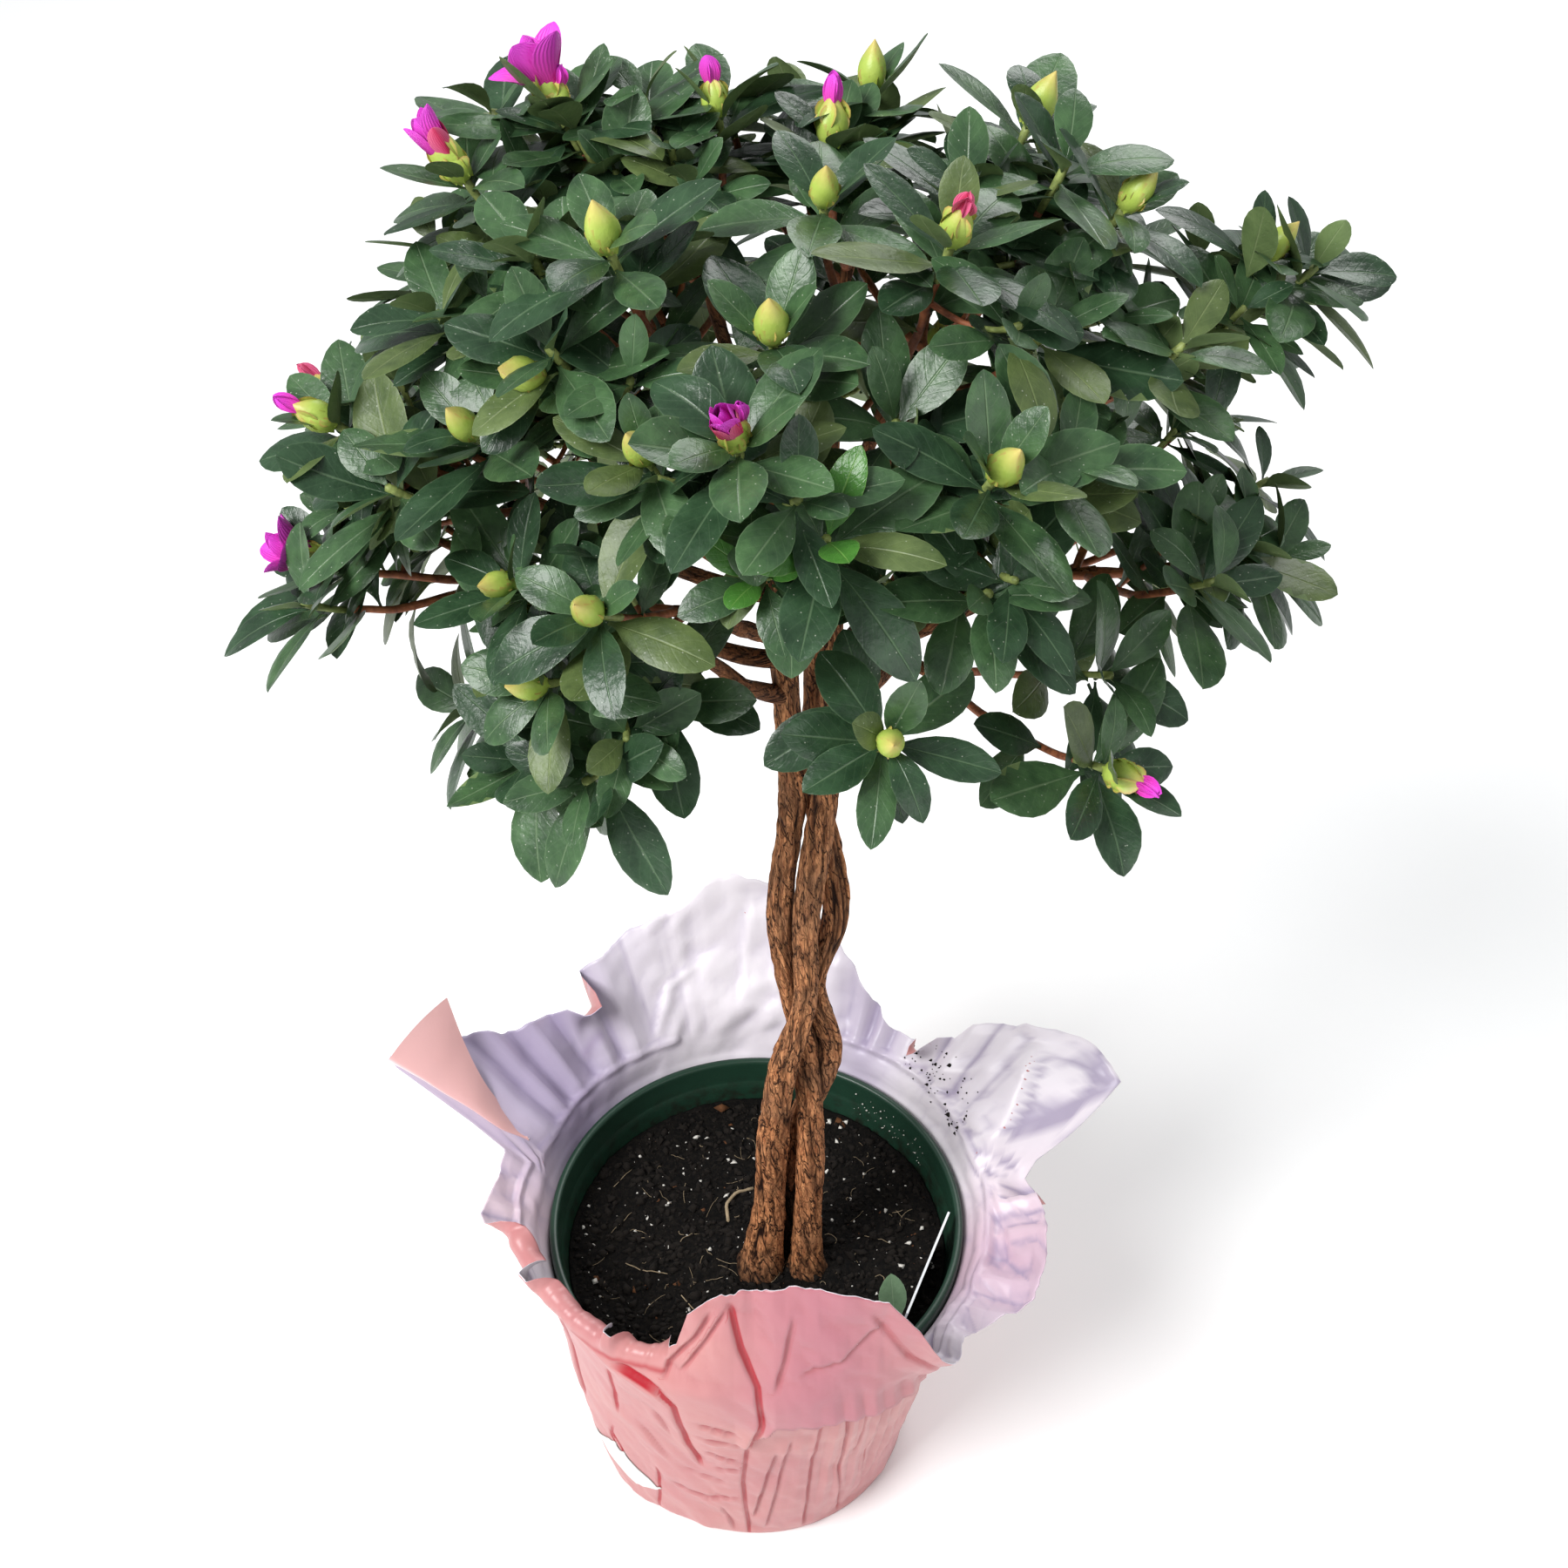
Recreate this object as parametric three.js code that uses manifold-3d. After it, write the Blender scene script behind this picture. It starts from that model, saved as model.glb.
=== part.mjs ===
// A standard azalea: a leafy crown on three plaited stems, growing in a plastic nursery pot
// that stands in a flared paper pot cover. Millimetres, +Z up, origin at the centre of the
// cover's flat underside, -Y towards the side from which the plant is usually seen.

import * as THREE from "three";
import { mergeVertices } from "three/addons/utils/BufferGeometryUtils.js";
import Module from "manifold-3d";

const wasm = await Module();
wasm.setup();

// ---- Driving dimensions ----

const CLEARANCE = 0.3; // between pieces that touch
const SLIVER = 0.2; // features finer than this are smoothed away where leaves are joined
const ROUND_SIDES = 36; // facets round the pot, soil and cover

const POT = {
  rimZ: 135,
  rimRadius: 82.5,
  lipHeight: 13,
  lipStep: 3,
  footRadius: 60,
  wall: 1.8,
};
const SOIL = { topZ: 112, dish: 2 };
const COVER = {
  sheet: 1.0, // thickness of the paper, stiffened by its folds
  footRadius: 64,
  rimGap: 3.1, // between the pot's rim and the paper
  skirtSteps: 5,
  bendShare: 0.35, // share of the skirt over which it bends to its full lean
};
// The skirt above the rim, round the pot from +X: [azimuth, length, lean from upright], in
// degrees and millimetres. The four corners of the square sheet are the long stations.
const SKIRT = [
  [3, 50, 60],
  [18, 88, 53],
  [34, 58, 42],
  [52, 38, 40],
  [72, 58, 32],
  [97, 86, 30],
  [118, 64, 34],
  [140, 58, 46],
  [160, 94, 58],
  [175, 42, 54],
  [196, 30, 48],
  [216, 20, 30],
  [234, 16, 6],
  [250, 40, -6],
  [270, 66, -12],
  [288, 62, 2],
  [302, 44, 34],
  [322, 34, 62],
  [345, 38, 64],
];

// A blank plastic plant label pushed in against the pot's wall; offset is at the soil's top.
const LABEL = { width: 50, height: 30, buried: 20, thickness: 0.9, azimuth: -22, offset: 67, lean: 10 };

// The three stems. Each station is [height above the soil, across, depth], measured from the
// plait's own axis: they cross where they were tied and belly out between the ties.
const PLAIT_FOOT = [13, -5];
const PLAIT_HEAD = [18, 0];
const STEM_TOP_Z = 392;
const STEMS = [
  {
    name: "stem_left",
    stations: [
      [0, -11, -3],
      [40, -8.5, -3.5],
      [78, -7.6, -4.5],
      [122, -4.6, -6.5],
      [157, 2.6, -6],
      [195, 1.8, -5.5],
      [248, 6.4, -4],
      [282, 7.5, -5],
      [325, 7.5, -4],
      [376, 13, -10],
    ],
    radii: [8.2, 6.2, 5.8, 5.2, 4.2, 4.5, 4.2, 3.9, 3.4, 2.4],
  },
  {
    name: "stem_front",
    stations: [
      [0, 7, -4],
      [40, 6.5, -4.5],
      [78, 6.8, -3.5],
      [122, 3.6, 1.5],
      [157, -2.6, 0.5],
      [195, -7, -1.5],
      [248, -3.6, -0.5],
      [282, -6, 0],
      [325, -8.5, 1],
      [372, -15, 4],
    ],
    radii: [6.6, 5.3, 5.2, 4.7, 3.9, 4.4, 4.4, 4.3, 3.8, 2.6],
  },
  {
    name: "stem_back",
    stations: [
      [0, -1.5, 8],
      [40, -1, 7],
      [78, 3, 6.5],
      [122, 12.4, 3.5],
      [157, 6, 3],
      [195, 12.4, 3],
      [248, 3.4, 8.4],
      [282, 3.4, 9.5],
      [325, 4, 13],
      [368, 7, 22],
    ],
    radii: [5.8, 4.9, 4.8, 4.7, 3.9, 4.5, 4.1, 3.8, 3.3, 2.5],
  },
];
const STEM_SIDES = 7;
const STEM_STEPS = 30;

// The crown: a dome on which the shoots end. Directions are from its heart, low on the stems.
const HEART = new THREE.Vector3(17, -2, 436);
const DOME = { centre: new THREE.Vector3(17, 0, 470), across: 130, depth: 112, above: 119, below: 50 };
const SPRAYS = [
  // name, azimuth, elevation, fullness of the dome there, stem that bears it, height of its bough
  ["front_low", 281, 18, 0.94, 0, 408],
  ["front_left_low", 220, 2, 0.86, 1, 401],
  ["right_low", 325, -6, 1.02, 0, 399],
  ["right_outer", 1, 8, 1.06, 0, 420],
  ["back_right_low", 40, 10, 1.0, 2, 402],
  ["back_low", 88, 10, 1.0, 2, 414],
  ["back_left_low", 142, 8, 1.0, 2, 426],
  ["left_low", 192, 15, 1.05, 1, 414],
  ["front_left", 238, 31, 0.9, 1, 426],
  ["front_right", 296, 46, 1.03, 0, 436],
  ["right_upper", 1, 43, 1.11, 0, 448],
  ["back_right_upper", 46, 46, 1.02, 2, 440],
  ["back_left_upper", 128, 44, 1.0, 2, 452],
  ["left", 190, 31, 1.04, 1, 438],
  ["left_upper", 172, 55, 1.04, 1, 458],
  ["front_upper", 260, 50, 1.08, 1, 448],
  ["top_left", 226, 64, 1.04, 1, 470],
  ["top_front_right", 303, 67, 1.04, 0, 462],
  ["top_right", 352, 66, 1.04, 0, 476],
  ["top_back", 66, 74, 1.0, 2, 466],
  ["top_back_left", 142, 70, 1.06, 2, 476],
];
const SPRAY = {
  boughEnd: 0.48, // share of the way to the dome at which a bough ends and its spray begins
  hub: 0.66, // share at which the shoots part
  fork: 0.14, // share of the hub's stem between one shoot's foot and the next
  site: 0.84, // share at which the middle of the spray's own space lies
  apart: 20, // at least, from the leading shoot's tip to the others'
  lift: 0.55, // how far a shoot's tip turns up to the light
};
// Besides each spray's leading shoot, shoots end evenly all over the dome, from its top down to
// its underside, each a little short of it, and belong to the spray in whose space they end.
const SHOOTS = { count: 98, underside: -0.45, sway: 7, shortest: 0.88, spaceMargin: 3 };
const BOUGH = { rootRadius: 3.2, tipRadius: 1.9, sides: 5, steps: 4, bow: 0.16 };
const TWIG = { hubRadius: 1.6, tipRadius: 1.3, sides: 4, steps: 2 };
// A shoot ends in two whorls of leaves, one above the other, and often a bud.
const WHORLS = [
  { pitch: 92, size: 1 },
  { pitch: 60, size: 0.84 },
];
const WHORL = { height: 3.2, radius: 1.7, turn: Math.PI / 4, sway: 16 };
const LEAF = { length: 38, width: 19, keel: 1.2, rootShare: 0.22, sizes: [1, 0.8, 0.62] };
const BUD = { length: 16, radius: 4.6, shoots: 2 };
const OWN_SPACE_MARGIN = 0.5;
const LIMB_MARGIN = 1.2;

const GOLDEN_ANGLE = Math.PI * (3 - Math.sqrt(5));
const UP = new THREE.Vector3(0, 0, 1);
const radians = THREE.MathUtils.degToRad;

// ---- Solids ----

function solidFromPoints(points, triangles) {
  const flat = new Float32Array(points.flatMap((p) => [p.x, p.y, p.z]));
  return new wasm.Manifold(
    new wasm.Mesh({ numProp: 3, vertProperties: flat, triVerts: new Uint32Array(triangles.flat()) }),
  );
}

function solidFromGeometry(geometry) {
  geometry.deleteAttribute("normal");
  geometry.deleteAttribute("uv");
  const merged = mergeVertices(geometry, 1e-3);
  return new wasm.Manifold(
    new wasm.Mesh({
      numProp: 3,
      vertProperties: merged.attributes.position.array,
      triVerts: new Uint32Array(merged.index.array),
    }),
  );
}

function geometryOf(solid) {
  const mesh = solid.getMesh();
  const geometry = new THREE.BufferGeometry();
  geometry.setAttribute("position", new THREE.BufferAttribute(mesh.vertProperties, 3));
  geometry.setIndex(new THREE.BufferAttribute(mesh.triVerts, 1));
  return geometry;
}

// The main body of a solid, without crumbs or pockets closed off between leaves.
function largestBody(solid) {
  const welded = solidFromGeometry(geometryOf(solid));
  return welded.decompose().reduce((a, b) => (b.volume() > a.volume() ? b : a));
}

function meshOf(name, solid, material) {
  const geometry = geometryOf(solid);
  geometry.computeVertexNormals();
  const made = new THREE.Mesh(geometry, material);
  made.name = name;
  return made;
}

// A closed, tapering limb along a line of points, with a radius for each point.
function limb(line, radii, sides) {
  const rings = [];
  let side = new THREE.Vector3(1, 0.2, 0);
  line.forEach((point, i) => {
    const ahead = line[Math.min(i + 1, line.length - 1)];
    const behind = line[Math.max(i - 1, 0)];
    const tangent = ahead.clone().sub(behind).normalize();
    side = side.clone().addScaledVector(tangent, -side.dot(tangent)).normalize();
    const other = tangent.clone().cross(side);
    for (let k = 0; k < sides; k++) {
      const angle = (2 * Math.PI * k) / sides;
      rings.push(
        point
          .clone()
          .addScaledVector(side, radii[i] * Math.cos(angle))
          .addScaledVector(other, radii[i] * Math.sin(angle)),
      );
    }
  });
  const triangles = [];
  for (let i = 0; i < line.length - 1; i++) {
    for (let k = 0; k < sides; k++) {
      const a = i * sides + k;
      const b = i * sides + ((k + 1) % sides);
      triangles.push([a, b, b + sides], [a, b + sides, a + sides]);
    }
  }
  const last = (line.length - 1) * sides;
  for (let k = 1; k < sides - 1; k++) {
    triangles.push([0, k + 1, k], [last, last + k, last + k + 1]);
  }
  return solidFromPoints(rings, triangles);
}

// ---- Curves ----

// Catmull-Rom through rows of numbers, the first of which is the parameter.
function alongStations(rows, at) {
  const last = rows.length - 2;
  let i = 0;
  while (i < last && at > rows[i + 1][0]) i++;
  const [before, from, to, after] = [-1, 0, 1, 2].map(
    (step) => rows[Math.min(Math.max(i + step, 0), rows.length - 1)],
  );
  const t = Math.min(Math.max((at - from[0]) / (to[0] - from[0]), 0), 1);
  return from.slice(1).map((value, column) => {
    const c = column + 1;
    const rise = to[0] - from[0];
    const leave = ((to[c] - before[c]) / (to[0] - before[0])) * rise;
    const arrive = ((after[c] - value) / (after[0] - from[0])) * rise;
    return (
      (2 * t ** 3 - 3 * t ** 2 + 1) * value +
      (t ** 3 - 2 * t ** 2 + t) * leave +
      (-2 * t ** 3 + 3 * t ** 2) * to[c] +
      (t ** 3 - t ** 2) * arrive
    );
  });
}

function bezier(from, control, to, t) {
  return from
    .clone()
    .multiplyScalar((1 - t) ** 2)
    .addScaledVector(control, 2 * t * (1 - t))
    .addScaledVector(to, t ** 2);
}

function direction(azimuth, elevation) {
  const [a, e] = [radians(azimuth), radians(elevation)];
  return new THREE.Vector3(Math.cos(a) * Math.cos(e), Math.sin(a) * Math.cos(e), Math.sin(e));
}

// A repeatable number from 0 to 1 for each set of indices.
function chance(spray, shoot, item) {
  const wave = Math.sin(spray * 127.1 + shoot * 311.7 + item * 74.7 + 1.3) * 43758.5453;
  return wave - Math.floor(wave);
}

// ---- Pot, soil, cover and label ----

function makePot() {
  const foot = COVER.sheet + CLEARANCE;
  const lipFoot = POT.rimZ - POT.lipHeight;
  const bodyTop = POT.rimRadius - POT.lipStep;
  const profile = [
    [0, foot],
    [POT.footRadius, foot],
    [bodyTop, lipFoot],
    [POT.rimRadius, lipFoot],
    [POT.rimRadius, POT.rimZ],
    [POT.rimRadius - 2 * POT.wall, POT.rimZ],
    [bodyTop - POT.wall, lipFoot],
    [POT.footRadius - POT.wall, foot + POT.wall],
    [0, foot + POT.wall],
  ].map(([r, z]) => new THREE.Vector2(r, z));
  return solidFromGeometry(new THREE.LatheGeometry(profile, ROUND_SIDES).rotateX(Math.PI / 2));
}

// The pot's inner radius at a height.
function potInside(z) {
  const foot = COVER.sheet + CLEARANCE + POT.wall;
  const lipFoot = POT.rimZ - POT.lipHeight;
  const share = (z - foot) / (lipFoot - foot);
  return POT.footRadius - POT.wall + share * (POT.rimRadius - POT.lipStep - POT.footRadius);
}

function labelBox(margin, bottomZ) {
  const height = LABEL.height + LABEL.buried;
  const box = new THREE.BoxGeometry(
    LABEL.thickness + 2 * margin,
    LABEL.width + 2 * margin,
    height + 2 * margin,
  );
  box.rotateY(radians(LABEL.lean));
  const above = bottomZ + height / 2 - SOIL.topZ;
  box.translate(LABEL.offset + above * Math.tan(radians(LABEL.lean)), 0, SOIL.topZ + above);
  box.rotateZ(radians(LABEL.azimuth));
  return solidFromGeometry(box);
}

function makeSoil(labelSlot) {
  const floor = COVER.sheet + POT.wall + 2 * CLEARANCE;
  const inset = CLEARANCE + 0.1;
  const profile = [
    [0, floor],
    [potInside(floor) - inset, floor],
    [potInside(SOIL.topZ) - inset, SOIL.topZ + SOIL.dish],
    [potInside(SOIL.topZ) - 16, SOIL.topZ],
    [0, SOIL.topZ],
  ].map(([r, z]) => new THREE.Vector2(r, z));
  const soil = new THREE.LatheGeometry(profile, ROUND_SIDES).rotateX(Math.PI / 2);
  return solidFromGeometry(soil).subtract(labelSlot);
}

function skirtAt(azimuth) {
  const wrapped = [];
  for (const turn of [-360, 0, 360]) {
    for (const [a, length, lean] of SKIRT) wrapped.push([a + turn, length, lean]);
  }
  return alongStations(wrapped, azimuth);
}

// The cover's section at one azimuth, as [radius, height] from the underside's centre up the
// outside, over the skirt's edge and down the inside to the centre again.
function coverSection(azimuth) {
  const rimInside = POT.rimRadius + COVER.rimGap;
  const slope = Math.atan2(rimInside - COVER.footRadius, POT.rimZ);
  const [length, leanDegrees] = skirtAt(azimuth);
  const lean = radians(leanDegrees);
  const inside = [
    [COVER.footRadius - COVER.sheet, COVER.sheet],
    [rimInside, POT.rimZ],
  ];
  let [r, z] = inside[1];
  const leans = [slope];
  for (let i = 1; i <= COVER.skirtSteps; i++) {
    const share = Math.min((i - 0.5) / COVER.skirtSteps / COVER.bendShare, 1);
    const now = slope + (lean - slope) * share * share * (3 - 2 * share);
    r += (Math.sin(now) * length) / COVER.skirtSteps;
    z += (Math.cos(now) * length) / COVER.skirtSteps;
    leans.push(now);
    inside.push([r, z]);
  }
  const outside = inside.map(([radius, height], i) => {
    if (i === 0) return [COVER.footRadius, 0];
    const here = i === 1 ? slope : (leans[i - 1] + leans[Math.min(i, leans.length - 1)]) / 2;
    return [radius + COVER.sheet * Math.cos(here), height - COVER.sheet * Math.sin(here)];
  });
  return [[0, 0], ...outside, ...inside.reverse(), [0, COVER.sheet]];
}

function makeCover() {
  const points = [];
  const triangles = [];
  const sections = [];
  for (let i = 0; i < ROUND_SIDES; i++) sections.push(coverSection((360 * i) / ROUND_SIDES));
  const rings = sections[0].length - 2;
  points.push(new THREE.Vector3(0, 0, 0), new THREE.Vector3(0, 0, COVER.sheet));
  sections.forEach((section, i) => {
    const angle = (2 * Math.PI * i) / ROUND_SIDES;
    section.slice(1, -1).forEach(([r, z]) => {
      points.push(new THREE.Vector3(r * Math.cos(angle), r * Math.sin(angle), z));
    });
  });
  for (let i = 0; i < ROUND_SIDES; i++) {
    const a = 2 + i * rings;
    const b = 2 + ((i + 1) % ROUND_SIDES) * rings;
    triangles.push([0, b, a], [1, a + rings - 1, b + rings - 1]);
    for (let k = 0; k < rings - 1; k++) {
      triangles.push([a + k, b + k, b + k + 1], [a + k, b + k + 1, a + k + 1]);
    }
  }
  return solidFromPoints(points, triangles);
}

// ---- Stems and boughs ----

function stemPoint(stem, height) {
  const [across, depth] = alongStations(stem.stations, height);
  const share = Math.min(height / (STEM_TOP_Z - SOIL.topZ), 1);
  return new THREE.Vector3(
    PLAIT_FOOT[0] + share * (PLAIT_HEAD[0] - PLAIT_FOOT[0]) + across,
    PLAIT_FOOT[1] + share * (PLAIT_HEAD[1] - PLAIT_FOOT[1]) + depth,
    SOIL.topZ + CLEARANCE + height,
  );
}

function stemRadius(stem, height) {
  return alongStations(
    stem.stations.map((row, i) => [row[0], stem.radii[i]]),
    height,
  )[0];
}

function stemLine(stem, extra) {
  const top = stem.stations.at(-1)[0];
  const line = [];
  const radii = [];
  for (let i = 0; i <= STEM_STEPS; i++) {
    const height = (top * i) / STEM_STEPS;
    line.push(stemPoint(stem, height));
    radii.push(stemRadius(stem, height) + extra);
  }
  return { line, radii };
}

function flatFoot(solid) {
  return solid.trimByPlane([0, 0, 1], SOIL.topZ + CLEARANCE);
}

function boughLine(spray) {
  const root = stemPoint(STEMS[spray.stem], spray.rootZ - SOIL.topZ);
  const span = root.distanceTo(spray.start);
  const control = root.clone().lerp(spray.start, 0.5).addScaledVector(UP, -BOUGH.bow * span);
  const line = [];
  const radii = [];
  for (let i = 0; i <= BOUGH.steps; i++) {
    const t = i / BOUGH.steps;
    line.push(bezier(root, control, spray.start, t));
    radii.push(BOUGH.rootRadius + t * (BOUGH.tipRadius - BOUGH.rootRadius));
  }
  return { line, radii };
}

// ---- Sprays of foliage ----

// How far the dome is from the crown's heart in a direction.
function domeReach(towards) {
  const from = HEART.clone().sub(DOME.centre);
  let reach = 0;
  for (const height of [DOME.above, DOME.below]) {
    const size = new THREE.Vector3(DOME.across, DOME.depth, height);
    const [d, o] = [towards.clone().divide(size), from.clone().divide(size)];
    const b = d.dot(o);
    const length = (-b + Math.sqrt(b * b - d.lengthSq() * (o.lengthSq() - 1))) / d.lengthSq();
    const rises = from.z + length * towards.z > 0;
    if (rises === (height === DOME.above)) reach = length;
  }
  return reach;
}

function makeSprayPlan([name, azimuth, elevation, fullness, stem, rootZ], index) {
  const towards = direction(azimuth, elevation);
  const reach = fullness * domeReach(towards);
  const at = (share) => HEART.clone().addScaledVector(towards, share * reach);
  return {
    name,
    index,
    fullness,
    reach,
    stem,
    rootZ,
    towards,
    start: at(SPRAY.boughEnd),
    hub: at(SPRAY.hub),
    site: at(SPRAY.site),
  };
}

// Where a spray's shoots end: the first leads straight out, the others share out the dome.
function shootTips(spray, plans) {
  const lead = HEART.clone().addScaledVector(spray.towards, spray.reach);
  const tips = [lead];
  for (let i = 0; i < SHOOTS.count; i++) {
    const rise = 1 - ((i + 0.5) / SHOOTS.count) * (1 - SHOOTS.underside);
    const turn = i * GOLDEN_ANGLE;
    const out = Math.sqrt(1 - rise * rise);
    const short = SHOOTS.shortest + (1 - SHOOTS.shortest) * chance(spray.index, i, 1);
    const tip = new THREE.Vector3(
      DOME.across * out * Math.cos(turn),
      DOME.depth * out * Math.sin(turn),
      (rise > 0 ? DOME.above : DOME.below) * rise,
    )
      .multiplyScalar(short * spray.fullness)
      .add(DOME.centre)
      .addScaledVector(direction(360 * chance(spray.index, i, 2), 0), SHOOTS.sway * chance(spray.index, i, 3));
    if (tip.distanceTo(lead) > SPRAY.apart && inOwnSpace(tip, spray, plans, SHOOTS.spaceMargin)) tips.push(tip);
  }
  return tips;
}

function twigLine(from, to, axis) {
  const control = to.clone().addScaledVector(axis, -0.5 * from.distanceTo(to));
  const line = [];
  for (let i = 0; i <= TWIG.steps; i++) line.push(bezier(from, control, to, i / TWIG.steps));
  return line;
}

// One leaf's margins and tip. The margins lie lower than its midrib, which keels it a little.
function leafPoints(foot, along, up, length) {
  const across = new THREE.Vector3().crossVectors(up, along).normalize();
  const half = (LEAF.width * length) / LEAF.length / 2;
  const margin = (side) =>
    foot
      .clone()
      .addScaledVector(along, 0.62 * length)
      .addScaledVector(across, side * half)
      .addScaledVector(up, -LEAF.keel);
  return [margin(1), foot.clone().addScaledVector(along, length), margin(-1)];
}

function bladeSolid(foot, [right, tip, left]) {
  const root = foot.clone().lerp(tip, LEAF.rootShare);
  return solidFromPoints([root, right, tip, left], [[0, 2, 1], [0, 3, 2], [0, 1, 3], [1, 2, 3]]);
}

// The rings of a shoot: along its twig, then one more for each whorl, each turned a little.
function shootRings(line, axis) {
  const rings = [];
  let side = new THREE.Vector3(0.4, 1, 0.1);
  const addRing = (centre, along, radius, turn) => {
    side = side.clone().addScaledVector(along, -side.dot(along)).normalize();
    const other = along.clone().cross(side);
    const ring = [];
    for (let k = 0; k < TWIG.sides; k++) {
      const angle = turn + (2 * Math.PI * k) / TWIG.sides;
      ring.push(
        centre
          .clone()
          .addScaledVector(side, radius * Math.cos(angle))
          .addScaledVector(other, radius * Math.sin(angle)),
      );
    }
    rings.push(ring);
  };
  line.forEach((point, i) => {
    const along = (line[i + 1] || point).clone().sub(line[i + 1] ? point : line[i - 1]).normalize();
    const last = i === line.length - 1;
    const radius = TWIG.hubRadius + (i / TWIG.steps) * (TWIG.tipRadius - TWIG.hubRadius);
    addRing(point, last ? axis : along, last ? WHORL.radius : radius, 0);
  });
  const top = line.at(-1);
  WHORLS.forEach((_, w) => {
    const centre = top.clone().addScaledVector(axis, (w + 1) * WHORL.height);
    addRing(centre, axis, WHORL.radius, (w + 1) * WHORL.turn);
  });
  return rings;
}

// The closed solid of a shoot: twig, leaves growing out of the whorls' facets, and bud or point.
function shootSolid(rings, leaves, axis, hasBud) {
  const points = rings.flat();
  const triangles = [];
  const sides = TWIG.sides;
  for (let i = 0; i < rings.length - 1; i++) {
    for (let k = 0; k < sides; k++) {
      const a = i * sides + k;
      const b = i * sides + ((k + 1) % sides);
      const [c, d] = [b + sides, a + sides];
      const leaf = leaves[(i - TWIG.steps) * sides + k];
      if (!leaf) {
        triangles.push([a, b, c], [a, c, d]);
        continue;
      }
      const right = points.push(...leaf) - leaf.length;
      const [tip, left] = [right + 1, right + 2];
      triangles.push([a, b, right], [a, right, left], [left, right, tip], [b, c, right]);
      triangles.push([c, d, tip], [c, tip, right], [d, left, tip], [d, a, left]);
    }
  }
  const crown = rings.at(-1);
  const middle = crown[0].clone().add(crown[sides / 2]).multiplyScalar(0.5);
  let top = (rings.length - 1) * sides;
  if (hasBud) {
    const belly = crown.map((p) =>
      p.clone().sub(middle).setLength(BUD.radius).add(middle).addScaledVector(axis, 0.35 * BUD.length),
    );
    const first = points.push(...belly) - sides;
    for (let k = 0; k < sides; k++) {
      const next = (k + 1) % sides;
      triangles.push([top + k, top + next, first + next], [top + k, first + next, first + k]);
    }
    top = first;
  }
  const apex = points.push(middle.addScaledVector(axis, hasBud ? BUD.length : WHORL.height)) - 1;
  for (let k = 0; k < sides; k++) triangles.push([top + k, top + ((k + 1) % sides), apex]);
  for (let k = 1; k < sides - 1; k++) triangles.push([0, k + 1, k]);
  return solidFromPoints(points, triangles);
}

// The leaf that grows from one facet of a whorl, in each of its sizes.
function leafSizes(rings, axis, w, k, sway) {
  const [low, high] = [rings[TWIG.steps + w], rings[TWIG.steps + w + 1]];
  const next = (k + 1) % TWIG.sides;
  const foot = [low[k], low[next], high[k], high[next]]
    .reduce((sum, p) => sum.add(p), new THREE.Vector3())
    .multiplyScalar(0.25);
  const outward = foot.clone().sub(low[0].clone().add(low[TWIG.sides / 2]).multiplyScalar(0.5));
  outward.addScaledVector(axis, -outward.dot(axis)).normalize();
  const pitch = radians(WHORLS[w].pitch + sway);
  const along = axis
    .clone()
    .multiplyScalar(Math.cos(pitch))
    .addScaledVector(outward, Math.sin(pitch));
  const up = axis
    .clone()
    .multiplyScalar(Math.sin(pitch))
    .addScaledVector(outward, -Math.cos(pitch));
  return LEAF.sizes.map((size) => ({
    foot,
    points: leafPoints(foot, along, up, size * WHORLS[w].size * LEAF.length),
  }));
}

function inOwnSpace(point, spray, plans, margin) {
  return plans.every((other) => {
    if (other === spray) return true;
    const apart = other.site.distanceTo(spray.site);
    const lead = point.distanceToSquared(other.site) - point.distanceToSquared(spray.site);
    return lead / (2 * apart) > margin;
  });
}

function clearOfLimbs(point, limbs) {
  const nearest = new THREE.Vector3();
  return limbs.every(({ line, radii }) =>
    line.slice(1).every((to, i) => {
      new THREE.Line3(line[i], to).closestPointToPoint(point, true, nearest);
      return nearest.distanceTo(point) > radii[i] + LIMB_MARGIN;
    }),
  );
}

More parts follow.
